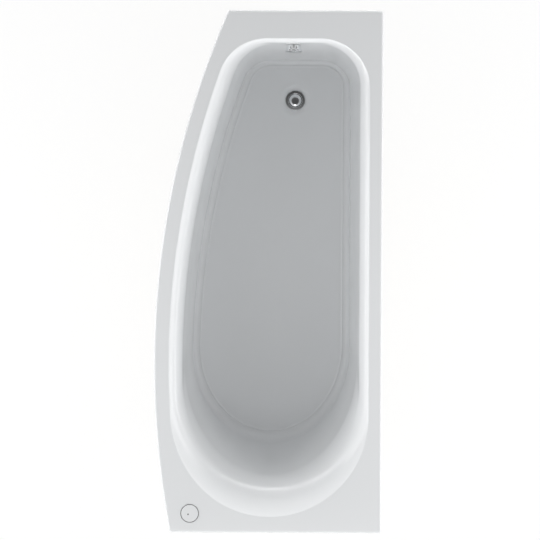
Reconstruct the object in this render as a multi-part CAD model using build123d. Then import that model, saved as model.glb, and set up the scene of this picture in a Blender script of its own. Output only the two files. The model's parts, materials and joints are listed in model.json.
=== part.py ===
"""Single ended space-saver bathtub with a bowed front.

The frame is in millimetres. X runs along the bath, from the waste end at -X to the head end at +X.
Y runs across it, from the bowed front at -Y to the straight wall side at +Y. Z is up, and the
floor under the feet is Z = 0. The origin is on the floor under the middle of the rim.
"""
from build123d import *
import math
import os

os.makedirs("parts", exist_ok=True)

# Overall sizes
BATH_LENGTH = 1600.0
BATH_WIDTH = 700.0
RIM_HEIGHT = 580.0
WELL_DEPTH = 400.0
BOW_RADIUS = 2700.0
BOW_X = 277.0

# Moulded acrylic skin and its glassfibre backing
SKIN = 4.0
LIP_DEPTH = 38.0
LIP_RADIUS = 7.0
RIM_CORNER = 9.0
BACKING = 3.0
BOND_GAP = 0.3
BACKING_TOP = 8.0

# Widths of the flat rim between its outer edge and the well
RIM_BACK = 41.6
RIM_FRONT = 47.0
RIM_TAP = 87.0
RIM_HEAD = 50.0

# Plan shape of the well at the rim, at the foot of the rolled edge and at the floor
WELL_CORNER_RIM = 150.0
WELL_CORNER_FLOOR = 68.0
HEAD_REACH_RIM = 305.0
HEAD_REACH_ROLL = 342.0
HEAD_REACH_FLOOR = 280.0

# Widths and heights of the rolled edge, width of the whole wall, and the round foot of the walls
BACK_ROLL_WIDTH = 28.0
BACK_ROLL_HEIGHT = 50.0
BACK_WALL_WIDTH = 66.0
FRONT_ROLL_WIDTH = 40.0
FRONT_ROLL_HEIGHT = 62.0
FRONT_WALL_WIDTH = 80.0
TAP_ROLL_WIDTH = 11.0
TAP_ROLL_HEIGHT = 22.0
TAP_WALL_WIDTH = 44.0
HEAD_ROLL_WIDTH = 118.0
HEAD_ROLL_HEIGHT = 120.0
HEAD_WALL_WIDTH = 231.0
FOOT_WIDTH = 20.0
FOOT_HEIGHT = 20.0
TAP_FOOT_WIDTH = 15.0
HEAD_FOOT_WIDTH = 35.0
HEAD_FOOT_HEIGHT = 30.0

# Share of the rolled edge's height that falls away before its bend, which leaves a crisp line at the rim
ROLL_FALL = 0.34
HEAD_ROLL_FALL = 0.42

# Shares of the well's depth at which its outline is drawn
LEVELS = [0, 0.00125, 0.005, 0.0125, 0.0225, 0.035, 0.055, 0.085, 0.12, 0.155, 0.225, 0.3, 0.5, 0.725,
          0.925, 0.95, 0.97, 0.985, 0.99625, 1]
LEVEL_STEP = 0.3
OVERCUT = 1.0

# Waste, its recess in the floor and the pop-up plug
WASTE_IN = 244.0
WASTE_IN_BACK = 265.0
RECESS_RADIUS = 49.0
RECESS_DEPTH = 4.0
FLANGE_RADIUS = 32.5
TAIL_RADIUS = 23.8
TAIL_BORE = 21.0
TAIL_LENGTH = 30.0
THREAD_CLEARANCE = 0.3
RUNNING_CLEARANCE = 0.05
PLUG_RADIUS = 20.3
STEM_RADIUS = 3.0
LIFTER_RADIUS = 4.0

# Overflow with its rotary knob
OVERFLOW_DEPTH = 46.0
OVERFLOW_IN_BACK = 275.0
OVERFLOW_HOLE = 18.0
KNOB_RADIUS = 25.0
KNOB_NECK = 22.0
KNOB_LENGTH = 20.0
KNOB_GAP = 4.0
SPINDLE_RADIUS = 4.0
OVERFLOW_BODY_RADIUS = 24.0
OVERFLOW_BODY_LENGTH = 27.0
HOSE_RADIUS = 13.0
HOSE_BORE = 10.7
SPIGOT_RADIUS = 10.5
SPIGOT_BORE = 8.0
CABLE_RADIUS = 2.5
CABLE_OFFSET = 19.8

# Trap under the waste
PIPE_BORE = 21.6
CUP_RADIUS = 42.0
CUP_WALL = 3.0

# Timber
BOARD = 16.0
BOARD_IN_TAP = 310.0
BOARD_INSET = 20.0
BATTEN_HEIGHT = 18.0

# Steel cradle and feet
BAR_WIDTH = 30.0
BAR_HEIGHT = 20.0
STEEL = 2.0
BAR_IN_TAP = 400.0
BAR_IN_HEAD = 420.0
CENTRE_FOOT_X = 0.0
ROD_RADIUS = 5.0
ROD_CHAMFER = 1.0
PAD_RADIUS = 24.0
PAD_HEIGHT = 14.0
PAD_EDGE = 4.2
PAD_NECK = 10.8
NUT_HEIGHT = 8.0
NUT_RADIUS = 9.0
FOOT_IN_BACK = 48.0
FOOT_IN_FRONT = 48.0
UPRIGHT_WIDTH = 25.0
UPRIGHT_THICKNESS = 3.0
SCREW_RADIUS = 2.5
SCREW_CLEARANCE = 0.1

# Holes, seals and small fittings of the waste
SHELL_HOLE = 26.0
SEAL = 1.5
SEAT_STEP = 3.0
SEAT_TOP = 1.0
SEAT_LOW = 3.0
SEAT_BACK = 8.0
FLANGE_EDGE = 1.1
FLANGE_BEVEL = 2.0
FLANGE_HEIGHT = 4.2
WEB = 5.0
WEB_HEIGHT = 6.0
WEB_DROP = 14.0
HUB_WALL = 3.5
STEM_IN_CAP = 2.5
PLUG_CLEAR = 1.2
PLUG_STEP = 0.9
PLUG_BELOW = 0.4
PLUG_SEAL = 1.8
SEAL_OVER = 0.6
COLLAR_HEIGHT = 3.0
PLUG_UNDER = 1.2
PLUG_EDGE = 2.6
DOME_RISE = 4.6
STEM_COLLAR = 9.0
BODY_SEAL = 2.5
BODY_FLANGE = 40.0
SEAL_IN = 1.0
BODY_OUTER = 28.0
BODY_DEPTH = 41.5
OUTLET_TAIL = 18.0
GUIDE_UP = 6.0
LIFTER_BELOW = 4.0
LIFTER_HEAD = 6.0
WASHER = 1.5
SPIGOT_REACH = 50.0
SPIGOT_GRIP = 15.0
SPIGOT_DROP = 21.0
PORT_RADIUS = 4.0
PORT_REACH = 42.0
CABLE_GRIP = 8.0
HOSE_STRAIGHT = 84.0
HOSE_TURN = 160.0
RUN_SHARE = 0.45
COLLAR = 12.0
COLLAR_IN = 1.0

# Small fittings of the overflow
OVERFLOW_FLANGE = 28.0
OVERFLOW_PLATE = 22.0
PLATE_THICKNESS = 2.5
LUG_RADIUS = 4.0
LUG_OFFSET = 15.0
SLOT_OFFSET = 12.0
SLOT_LENGTH = 20.0
SLOT_WIDTH = 5.0
OVERFLOW_SPIGOT = 26.0
KNOB_GROOVE_BACK = 5.0
KNOB_BEVEL = 2.0
KNOB_EDGE = 1.5
KNOB_WALL = 3.2
KNOB_FACE = 3.0
GROOVE_HALF = 0.6
GROOVE_DEPTH = 1.0
GROOVE_SLOPE = 0.8
HUB = 8.0
HUB_BACK = 2.0
DRUM_RADIUS = 13.0
DRUM_STEP = 2.0
DRUM_GROOVE = 3.0

# Small fittings of the trap
TRAP_RING = 2.5
UNION_RADIUS = 31.0
UNION_HEIGHT = 20.0
UNION_RIBS = 12
RIB_HEIGHT = 2.0
CUP_HEIGHT = 82.4
PIPE_DROP = 26.0
SOCKET_RADIUS = 25.5
SOCKET_STOP = 64.0
SOCKET_END = 92.0
OUTLET_GRIP = 18.0
DIP_GAP = 11.0
CAP_BORE = 20.0
CLEANING_EDGE = 5.0
GRIP_HALF = 2.0
GRIP_HEIGHT = 4.0
OUTLET_NUT = 30.0

# Cover cap in the corner of the rim
CAP_IN_HEAD = 59.0
CAP_IN_FRONT = 72.835
CAP_RADIUS = 29.0
CAP_HEIGHT = 2.0
CAP_EDGE = 0.8
CAP_HOLE = 17.5
CAP_NUT = 8.0
CAP_NUT_RADIUS = 24.0
CAP_PIN = 1.6
CAP_PIN_X = 2.0
CAP_PIN_Y = -5.0

# Battens, brackets and screws
BATTEN_GAP = 2.0
BATTEN_CLEAR = 9.0
BACK_BATTEN_TAP = 55.0
BACK_BATTEN_HEAD = 50.0
TAP_BATTEN_WIDTH = 42.0
FRONT_BATTEN_TAP = 160.0
FRONT_BATTEN_HEAD = 160.0
BOARD_CORNER = 40.0
BOARD_SCREW = 12.0
BATTEN_SCREW = 14.0
SCREW_HEAD = 5.0
SCREW_HEAD_HEIGHT = 2.5
HEAD_ROUND = 0.6
SLOT = 1.2
BAR_SCREW_IN_BACK = [180.0, 270.0, 370.0, 440.0]
HAT_HEIGHT = 32.0
HAT_BODY = 25.0
HAT_FLANGE = 48.0
HAT_WIDTH = 60.0
HAT_SCREW_X = 37.0
HAT_SCREW_Y = 20.0
CENTRE_FOOT_IN_BACK = 340.0
ROD_ABOVE = 20.0
CENTRE_ROD_ABOVE = 4.0
UPRIGHT_IN_FRONT = 10.0
UPRIGHT_FLANGE = 26.0
BOLT_RADIUS = 4.0
BOLT_LENGTH = 17.0
BOLT_HEAD = 7.4
BOLT_HEAD_HEIGHT = 2.0
BOLT_NUT = 6.0
WALL_BRACKET_X = [-250.0, 250.0]
WALL_BRACKET_WIDTH = 30.0
BRACKET_DROP = 6.0
BRACKET_PLATE = 46.0
BRACKET_HOLE = 2.75
BRACKET_HOLE_TOP = 12.0
BRACKET_HOLE_STEP = 24.0

# Levels worked out from the sizes above
FLOOR_Z = RIM_HEIGHT - WELL_DEPTH
RECESS_Z = FLOOR_Z - RECESS_DEPTH
BOW_CENTRE_Y = BOW_RADIUS - BATH_WIDTH / 2
BOARD_TOP = FLOOR_Z - SKIN - BOND_GAP - BACKING
BOARD_BOTTOM = BOARD_TOP - BOARD
BATTEN_TOP = RIM_HEIGHT - SKIN
BATTEN_BOTTOM = BATTEN_TOP - BATTEN_HEIGHT
TANGENT = 4 / 3 * math.tan(math.pi / 8)
WASTE_X = -BATH_LENGTH / 2 + WASTE_IN
WASTE_Y = BATH_WIDTH / 2 - WASTE_IN_BACK
OVERFLOW_Y = BATH_WIDTH / 2 - OVERFLOW_IN_BACK
CENTRE_FOOT_Y = BATH_WIDTH / 2 - CENTRE_FOOT_IN_BACK
BAR_X = [-BATH_LENGTH / 2 + BAR_IN_TAP, BATH_LENGTH / 2 - BAR_IN_HEAD]
BAR_SCREW_Y = [BATH_WIDTH / 2 - inset for inset in BAR_SCREW_IN_BACK]


def save(name, shape):
    """Write one sub-part, named as its node."""
    solids = shape.solids() if not isinstance(shape, list) else [s for p in shape for s in p.solids()]
    body = solids[0] if len(solids) == 1 else Compound(children=solids)
    export_step(body, f"parts/{name}.step")


def ring(outer, inner, low, high, x=0.0, y=0.0):
    """Upright round tube, or a disc when the inner radius is zero."""
    profile = Circle(outer) - Circle(inner) if inner > 0 else Circle(outer)
    return Pos(x, y, low) * extrude(profile, high - low)


def turned(points, x=0.0, y=0.0):
    """Solid of revolution about an upright axis from radius and height points."""
    face = make_face(Polyline([(r, 0, z) for r, z in points], close=True))
    return Pos(x, y, 0) * revolve(face, Axis.Z)


def bar_box(x0, x1, y0, y1, z0, z1):
    """Box between two corners."""
    return Pos((x0 + x1) / 2, (y0 + y1) / 2, (z0 + z1) / 2) * Box(x1 - x0, y1 - y0, z1 - z0)


def bow_y(x, radius=BOW_RADIUS):
    """Y of the bowed front, or of a line concentric with it, at a place along the bath."""
    return BOW_CENTRE_Y - math.sqrt(radius ** 2 - (x - BOW_X) ** 2)


class Wall:
    """Section through one side of the well: a rolled edge, a straight wall and a round foot."""

    def __init__(self, roll_width, roll_height, foot_width, foot_height, total, fall=ROLL_FALL):
        self.roll_width = roll_width
        self.roll_height = roll_height
        self.foot_width = foot_width
        self.foot_height = foot_height
        self.total = total
        self.fall = fall
        straight = WELL_DEPTH - roll_height - foot_height
        self.slope = (total - roll_width - foot_width) / straight

    def inset(self, depth):
        """How far the wall stands in from the rim's inner edge at a depth."""
        if depth < self.roll_height:
            bend = 1 - 2 * self.fall
            t = (math.sqrt(self.fall ** 2 + bend * depth / self.roll_height) - self.fall) / bend
            handle = self.roll_width - self.roll_height * (1 - self.fall) * self.slope
            return 2 * t * (1 - t) * handle + t ** 2 * self.roll_width
        if depth > WELL_DEPTH - self.foot_height:
            t = math.sqrt(max(WELL_DEPTH - depth, 0) / self.foot_height)
            handle = self.foot_width - self.foot_height * self.slope
            return self.total - 2 * t * (1 - t) * handle - t ** 2 * self.foot_width
        return self.roll_width + (depth - self.roll_height) * self.slope

    def offset(self, depth, gap):
        """The same for a surface that lies a gap outside the wall."""
        if gap == 0:
            return self.inset(depth)
        steps = [gap * (i / 20 - 1) for i in range(41)]
        steps = [s for s in steps if 0 <= depth + s <= WELL_DEPTH]
        return min(self.inset(depth + s) - math.sqrt(gap ** 2 - s ** 2) for s in steps)


BACK_WALL = Wall(BACK_ROLL_WIDTH, BACK_ROLL_HEIGHT, FOOT_WIDTH, FOOT_HEIGHT, BACK_WALL_WIDTH)
FRONT_WALL = Wall(FRONT_ROLL_WIDTH, FRONT_ROLL_HEIGHT, FOOT_WIDTH, FOOT_HEIGHT, FRONT_WALL_WIDTH)
TAP_WALL = Wall(TAP_ROLL_WIDTH, TAP_ROLL_HEIGHT, TAP_FOOT_WIDTH, FOOT_HEIGHT, TAP_WALL_WIDTH)
HEAD_WALL = Wall(HEAD_ROLL_WIDTH, HEAD_ROLL_HEIGHT, HEAD_FOOT_WIDTH, HEAD_FOOT_HEIGHT, HEAD_WALL_WIDTH,
                 HEAD_ROLL_FALL)


def plan_line(y_back, y_front, x_tap, x_head, x_centre, corner, z):
    """Closed line at one level: straight back and waste end, bowed front and half-round head."""
    radius = BOW_CENTRE_Y - y_front
    y_side = bow_y(x_centre, radius)
    y_mid = (y_back + y_side) / 2
    half = (y_back - y_side) / 2
    reach = x_head - x_centre
    lean = (x_centre - BOW_X) / (BOW_CENTRE_Y - y_side)
    turn_x = x_tap + corner
    turn_y = BOW_CENTRE_Y - math.sqrt((radius - corner) ** 2 - (turn_x - BOW_X) ** 2)
    out = Vector(turn_x - BOW_X, turn_y - BOW_CENTRE_Y).normalized()
    front_end = Vector(BOW_X, BOW_CENTRE_Y) + out * radius
    bisector = (out + Vector(-1, 0)).normalized()
    corner_mid = Vector(turn_x, turn_y) + bisector * corner
    bow_mid_x = (x_centre + front_end.X) / 2
    diagonal = corner * math.sqrt(0.5)
    edges = [
        Line((turn_x, y_back), (x_centre, y_back)),
        Bezier((x_centre, y_back), (x_centre + TANGENT * reach, y_back),
               (x_head, y_mid + TANGENT * half), (x_head, y_mid)),
        Bezier((x_head, y_mid), (x_head, y_mid - TANGENT * half),
               (x_centre + TANGENT * reach, y_side + TANGENT * reach * lean), (x_centre, y_side)),
        ThreePointArc((x_centre, y_side), (bow_mid_x, bow_y(bow_mid_x, radius)), front_end),
        ThreePointArc(front_end, corner_mid, (x_tap, turn_y)),
        Line((x_tap, turn_y), (x_tap, y_back - corner)),
        ThreePointArc((x_tap, y_back - corner),
                      (turn_x - diagonal, y_back - corner + diagonal), (turn_x, y_back)),
    ]
    return Pos(0, 0, z) * Wire(edges)


def head_reach(inset):
    """Length of the half-round head end, for a head wall that stands in by this much."""
    if inset < HEAD_WALL.roll_width:
        share = inset / HEAD_WALL.roll_width
        return HEAD_REACH_RIM + (HEAD_REACH_ROLL - HEAD_REACH_RIM) * share
    share = (inset - HEAD_WALL.roll_width) / (HEAD_WALL.total - HEAD_WALL.roll_width)
    return HEAD_REACH_ROLL + (HEAD_REACH_FLOOR - HEAD_REACH_ROLL) * share


def well_line(depth, gap=0.0):
    """Outline of the well at a depth below the rim, moved outwards by a gap."""
    tap = TAP_WALL.offset(depth, gap)
    head = HEAD_WALL.offset(depth, gap)
    corner = WELL_CORNER_RIM - (WELL_CORNER_RIM - WELL_CORNER_FLOOR) * tap / TAP_WALL.total
    return plan_line(BATH_WIDTH / 2 - RIM_BACK - BACK_WALL.offset(depth, gap),
                     -BATH_WIDTH / 2 + RIM_FRONT + FRONT_WALL.offset(depth, gap),
                     -BATH_LENGTH / 2 + RIM_TAP + tap,
                     BATH_LENGTH / 2 - RIM_HEAD - head,
                     BATH_LENGTH / 2 - RIM_HEAD - head - head_reach(head), corner, RIM_HEIGHT - depth)


def well_form(gap=0.0, top=0.0):
    """Solid form of the well, thicker by a gap, from a depth down to the underside of the floor."""
    depths = [level * WELL_DEPTH + gap for level in LEVELS]
    depths = [top] + [depth for depth in depths if depth > top + LEVEL_STEP]
    return Solid.make_loft([well_line(depth, gap) for depth in depths], ruled=True)


def rim_outline():
    """Outer edge of the rim: three straight sides and a bowed front."""
    x, y = BATH_LENGTH / 2, BATH_WIDTH / 2
    edges = [
        Line((-x, bow_y(-x)), (-x, y)),
        Line((-x, y), (x, y)),
        Line((x, y), (x, bow_y(x))),
        ThreePointArc((x, bow_y(x)), (0, bow_y(0)), (-x, bow_y(-x))),
    ]
    face = make_face(edges)
    return fillet(face.vertices(), RIM_CORNER)


def upright_screw_y(x, side):
    """Y of the screw that holds an upright to its batten."""
    if side > 0:
        return BATH_WIDTH / 2 - SKIN - BATTEN_GAP - UPRIGHT_FLANGE / 2
    return bow_y(x) + UPRIGHT_IN_FRONT + UPRIGHT_FLANGE / 2


# Place of the cover cap, a fixed way in from the head end and from the bowed front
CAP_X = BATH_LENGTH / 2 - CAP_IN_HEAD
CAP_Y = bow_y(CAP_X) + CAP_IN_FRONT

# Place of the overflow: on the waste end wall, with its axis square to the wall and into the well
overflow_x = -BATH_LENGTH / 2 + RIM_TAP + TAP_WALL.inset(OVERFLOW_DEPTH)
draft = math.degrees(math.atan(TAP_WALL.slope))
overflow_place = Pos(overflow_x, OVERFLOW_Y, RIM_HEIGHT - OVERFLOW_DEPTH) * Rot(0, 90 - draft, 0)
WALL_SCREW_Y = BATH_WIDTH / 2 - SKIN - BATTEN_GAP - UPRIGHT_FLANGE / 2

# The skin: a flat rim with a turned-down lip, and the well hung in it
outline = rim_outline()
rim = Pos(0, 0, RIM_HEIGHT - LIP_DEPTH) * extrude(outline, LIP_DEPTH)
rim = fillet(rim.faces().sort_by(Axis.Z)[-1].edges(), LIP_RADIUS)
inside = offset(outline, -SKIN, kind=Kind.ARC)
rim -= Pos(0, 0, RIM_HEIGHT - LIP_DEPTH) * extrude(inside, LIP_DEPTH - SKIN)
shell = rim + well_form(SKIN, SKIN)
shell += ring(RECESS_RADIUS + SKIN, 0, RECESS_Z - SKIN, FLOOR_Z, WASTE_X, WASTE_Y)
shell -= well_form()
shell -= ring(RECESS_RADIUS, 0, RECESS_Z, FLOOR_Z + OVERCUT, WASTE_X, WASTE_Y)
shell -= ring(SHELL_HOLE, 0, RECESS_Z - 2 * SKIN, FLOOR_Z, WASTE_X, WASTE_Y)
shell -= overflow_place * ring(OVERFLOW_HOLE, 0, -3 * SKIN, SKIN)
shell -= ring(CAP_HOLE, 0, BATTEN_BOTTOM, RIM_HEIGHT + OVERCUT, CAP_X, CAP_Y)
save("acrylic_shell", shell)

# Glassfibre backing sprayed on the outside of the well
backing_in = SKIN + BOND_GAP
backing = well_form(backing_in + BACKING, BACKING_TOP) - well_form(backing_in, BACKING_TOP)
backing -= ring(RECESS_RADIUS + SKIN + BOND_GAP, 0, BOARD_TOP - OVERCUT, FLOOR_Z, WASTE_X, WASTE_Y)
backing -= overflow_place * ring(OVERFLOW_HOLE, 0, -5 * SKIN, SKIN)
save("glassfibre_backing", backing)

# Chipboard bonded under the floor, with pilot holes for the screws of the cradle
floor_head = BATH_LENGTH / 2 - RIM_HEAD - HEAD_WALL.total
board_back = BATH_WIDTH / 2 - RIM_BACK - BACK_WALL.total - BOARD_INSET
board_front = -BATH_WIDTH / 2 + RIM_FRONT + FRONT_WALL.total + BOARD_INSET
board_line = plan_line(board_back, board_front, -BATH_LENGTH / 2 + BOARD_IN_TAP, floor_head - BOARD_INSET,
                       floor_head - HEAD_REACH_FLOOR, BOARD_CORNER, BOARD_BOTTOM)
board = extrude(make_face(board_line), BOARD, dir=(0, 0, 1))
for x in BAR_X:
    for y in BAR_SCREW_Y:
        board -= ring(SCREW_RADIUS + SCREW_CLEARANCE, 0, BOARD_BOTTOM, BOARD_BOTTOM + BOARD_SCREW, x, y)
for x in (-HAT_SCREW_X, HAT_SCREW_X):
    for y in (-HAT_SCREW_Y, HAT_SCREW_Y):
        board -= ring(SCREW_RADIUS + SCREW_CLEARANCE, 0, BOARD_BOTTOM, BOARD_BOTTOM + BOARD_SCREW,
                      CENTRE_FOOT_X + x, CENTRE_FOOT_Y + y)
save("baseboard", board)

# Timber battens under the flat rim, drilled for the bracket and upright screws
half_length = BATH_LENGTH / 2
half_width = BATH_WIDTH / 2
batten_back = bar_box(-half_length + BACK_BATTEN_TAP, half_length - BACK_BATTEN_HEAD,
                      half_width - RIM_BACK + BATTEN_CLEAR, half_width - SKIN - BATTEN_GAP,
                      BATTEN_BOTTOM, BATTEN_TOP)
batten_tap = bar_box(-half_length + SKIN + BATTEN_GAP, -half_length + SKIN + BATTEN_GAP + TAP_BATTEN_WIDTH,
                     bow_y(-half_length) + RIM_CORNER * 2, half_width - RIM_BACK,
                     BATTEN_BOTTOM, BATTEN_TOP)
batten_head = bar_box(half_length - RIM_HEAD + BATTEN_CLEAR, half_length - SKIN - BATTEN_GAP,
                      CAP_Y + CAP_NUT_RADIUS + BATTEN_CLEAR, half_width - RIM_BACK,
                      BATTEN_BOTTOM, BATTEN_TOP)
bow_outer = Circle(BOW_RADIUS - SKIN - BATTEN_GAP)
bow_strip = Pos(BOW_X, BOW_CENTRE_Y) * (bow_outer - Circle(BOW_RADIUS - RIM_FRONT + BATTEN_CLEAR))
bow_strip &= Pos((FRONT_BATTEN_TAP - FRONT_BATTEN_HEAD) / 2, -half_width) * Rectangle(
    BATH_LENGTH - FRONT_BATTEN_TAP - FRONT_BATTEN_HEAD, BATH_WIDTH)
batten_front = Pos(0, 0, BATTEN_BOTTOM) * extrude(bow_strip, BATTEN_HEIGHT)
pilot = SCREW_RADIUS + SCREW_CLEARANCE
for x in BAR_X:
    batten_back -= ring(pilot, 0, BATTEN_BOTTOM, BATTEN_BOTTOM + BATTEN_SCREW, x, upright_screw_y(x, 1))
    batten_front -= ring(pilot, 0, BATTEN_BOTTOM, BATTEN_BOTTOM + BATTEN_SCREW, x, upright_screw_y(x, -1))
for x in WALL_BRACKET_X:
    batten_back -= ring(pilot, 0, BATTEN_BOTTOM, BATTEN_BOTTOM + BATTEN_SCREW, x, WALL_SCREW_Y)
save("rim_batten_back", batten_back)
save("rim_batten_tap_end", batten_tap)
save("rim_batten_head_end", batten_head)
save("rim_batten_front", batten_front)

# Round cover pressed over the spare hole in the corner of the rim, held by a nut from below
cap = ring(CAP_RADIUS, 0, RIM_HEIGHT, RIM_HEIGHT + CAP_HEIGHT, CAP_X, CAP_Y)
cap = fillet(cap.faces().sort_by(Axis.Z)[-1].edges(), CAP_EDGE)
cap -= Pos(CAP_X + CAP_PIN_X, CAP_Y + CAP_PIN_Y, RIM_HEIGHT + CAP_HEIGHT) * Sphere(CAP_PIN)
cap += ring(CAP_HOLE - THREAD_CLEARANCE, CAP_HOLE - SKIN, BATTEN_BOTTOM, RIM_HEIGHT, CAP_X, CAP_Y)
save("rim_cover_cap", cap)
save("cover_cap_washer", ring(CAP_NUT_RADIUS, CAP_HOLE, BATTEN_TOP - WASHER, BATTEN_TOP, CAP_X, CAP_Y))
save("cover_cap_nut", ring(CAP_NUT_RADIUS, CAP_HOLE, BATTEN_TOP - WASHER - CAP_NUT, BATTEN_TOP - WASHER,
                           CAP_X, CAP_Y))

# Folded steel brackets that hold the straight side of the rim to the wall
riser_y = half_width - SKIN - BATTEN_GAP
brackets = []
for x in WALL_BRACKET_X:
    x0, x1 = x - WALL_BRACKET_WIDTH / 2, x + WALL_BRACKET_WIDTH / 2
    foot_z = RIM_HEIGHT - LIP_DEPTH - BRACKET_DROP
    bracket = bar_box(x0, x1, half_width - RIM_BACK + BATTEN_CLEAR, riser_y, BATTEN_BOTTOM - STEEL,
                      BATTEN_BOTTOM)
    bracket += bar_box(x0, x1, riser_y - STEEL, riser_y, foot_z, BATTEN_BOTTOM)
    bracket += bar_box(x0, x1, riser_y - STEEL, half_width, foot_z, foot_z + STEEL)
    bracket += bar_box(x0, x1, half_width - STEEL, half_width, foot_z - BRACKET_PLATE, foot_z + STEEL)
    bracket -= ring(pilot, 0, BATTEN_BOTTOM - 2 * STEEL, BATTEN_BOTTOM, x, WALL_SCREW_Y)
    for z in (foot_z - BRACKET_HOLE_TOP, foot_z - BRACKET_HOLE_TOP - BRACKET_HOLE_STEP):
        hole = Pos(x, half_width, z) * Rot(90, 0, 0) * Cylinder(BRACKET_HOLE, 4 * STEEL)
        bracket -= hole
    brackets.append(bracket)
save("wall_brackets", brackets)


def screw(x, y, face, length, radius=SCREW_RADIUS, head=SCREW_HEAD, head_height=SCREW_HEAD_HEIGHT):
    """Round-headed screw driven upwards, with its head against a face."""
    shank = ring(radius, 0, face, face + length, x, y)
    button = ring(head, 0, face - head_height, face, x, y)
    button = fillet(button.faces().sort_by(Axis.Z)[0].edges(), head_height * HEAD_ROUND)
    button -= bar_box(x - head, x + head, y - SLOT / 2, y + SLOT / 2,
                      face - head_height, face - head_height + SLOT)
    return shank + button


save("wall_bracket_screws", [screw(x, WALL_SCREW_Y, BATTEN_BOTTOM - STEEL, BATTEN_SCREW)
                             for x in WALL_BRACKET_X])

# Two steel channels across the baseboard, closed by a tab at each end, and an upright at each tab
bar_z = BOARD_BOTTOM - BAR_HEIGHT
bolts, bolt_nuts, upright_screws, bar_screws, foot_nuts = [], [], [], [], []


def hex_nut(x, y, low, height=NUT_HEIGHT, bore=ROD_RADIUS + RUNNING_CLEARANCE):
    """Plain hexagon nut with its axis upright."""
    return Pos(x, y, low) * extrude(RegularPolygon(NUT_RADIUS, 6) - Circle(bore), height)


def height_foot(number, x, y, rod_top):
    """Plastic foot on a threaded rod."""
    pad = turned([(0, 0), (PAD_RADIUS, 0), (PAD_RADIUS, PAD_EDGE), (PAD_NECK, PAD_HEIGHT),
                  (ROD_RADIUS + RUNNING_CLEARANCE, PAD_HEIGHT),
                  (ROD_RADIUS + RUNNING_CLEARANCE, PAD_HEIGHT / 2), (0, PAD_HEIGHT / 2)], x, y)
    save(f"foot_pad_{number}", pad)
    rod = ring(ROD_RADIUS, 0, PAD_HEIGHT / 2, rod_top, x, y)
    rod = chamfer(rod.faces().sort_by(Axis.Z)[-1].edges(), ROD_CHAMFER)
    save(f"foot_rod_{number}", rod)


number = 0
for x, label in zip(BAR_X, ("tap_end", "head_end")):
    ends = {1: half_width - SKIN - BATTEN_GAP - UPRIGHT_THICKNESS,
            -1: bow_y(x) + UPRIGHT_IN_FRONT + UPRIGHT_THICKNESS}
    x0, x1 = x - BAR_WIDTH / 2, x + BAR_WIDTH / 2
    bar = bar_box(x0, x1, ends[-1], ends[1], bar_z, BOARD_BOTTOM)
    bar -= bar_box(x0 + STEEL, x1 - STEEL, ends[-1] + STEEL, ends[1] - STEEL, bar_z, BOARD_BOTTOM - STEEL)
    for side in (1, -1):
        number += 1
        foot_y = ends[side] - side * (FOOT_IN_BACK if side > 0 else FOOT_IN_FRONT)
        bar -= ring(ROD_RADIUS + THREAD_CLEARANCE, 0, bar_z, BOARD_BOTTOM, x, foot_y)
        height_foot(number, x, foot_y, BOARD_BOTTOM + ROD_ABOVE)
        foot_nuts.append(hex_nut(x, foot_y, BOARD_BOTTOM))
        foot_nuts.append(hex_nut(x, foot_y, BOARD_BOTTOM - STEEL - NUT_HEIGHT))
        # Upright with a foot under the batten and a bolt through the tab
        face_y = ends[side]
        back_y = face_y + side * UPRIGHT_THICKNESS
        ux0, ux1 = x - UPRIGHT_WIDTH / 2, x + UPRIGHT_WIDTH / 2
        upright = bar_box(ux0, ux1, min(face_y, back_y), max(face_y, back_y), bar_z, BATTEN_BOTTOM)
        inner_y = face_y - side * (UPRIGHT_FLANGE - UPRIGHT_THICKNESS)
        upright += bar_box(ux0, ux1, min(inner_y, back_y), max(inner_y, back_y),
                           BATTEN_BOTTOM - UPRIGHT_THICKNESS, BATTEN_BOTTOM)
        screw_y = upright_screw_y(x, side)
        upright -= ring(pilot, 0, BATTEN_BOTTOM - 2 * UPRIGHT_THICKNESS, BATTEN_BOTTOM, x, screw_y)
        upright_screws.append(screw(x, screw_y, BATTEN_BOTTOM - UPRIGHT_THICKNESS, BATTEN_SCREW))
        bolt_z = bar_z + BAR_HEIGHT / 2
        bore = Pos(x, face_y, bolt_z) * Rot(90, 0, 0) * Cylinder(BOLT_RADIUS + THREAD_CLEARANCE, 6 * STEEL)
        upright -= bore
        bar -= bore
        turn = Rot(-90 * side, 0, 0)
        bolt = Cylinder(BOLT_RADIUS, BOLT_LENGTH, align=(Align.CENTER, Align.CENTER, Align.MAX))
        bolt += extrude(RegularPolygon(BOLT_HEAD, 6), BOLT_HEAD_HEIGHT)
        bolts.append(Pos(x, back_y, bolt_z) * turn * bolt)
        nut = extrude(RegularPolygon(BOLT_HEAD, 6) - Circle(BOLT_RADIUS + RUNNING_CLEARANCE), BOLT_NUT)
        bolt_nuts.append(Pos(x, face_y - side * (STEEL + BOLT_NUT), bolt_z) * turn * nut)
        side_name = "back" if side > 0 else "front"
        save(f"upright_{label}_{side_name}", upright)
    for y in BAR_SCREW_Y:
        bar -= ring(pilot, 0, bar_z, BOARD_BOTTOM, x, y)
        bar_screws.append(screw(x, y, BOARD_BOTTOM - STEEL, BOARD_SCREW))
    save(f"cradle_bar_{label}", bar)

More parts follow.
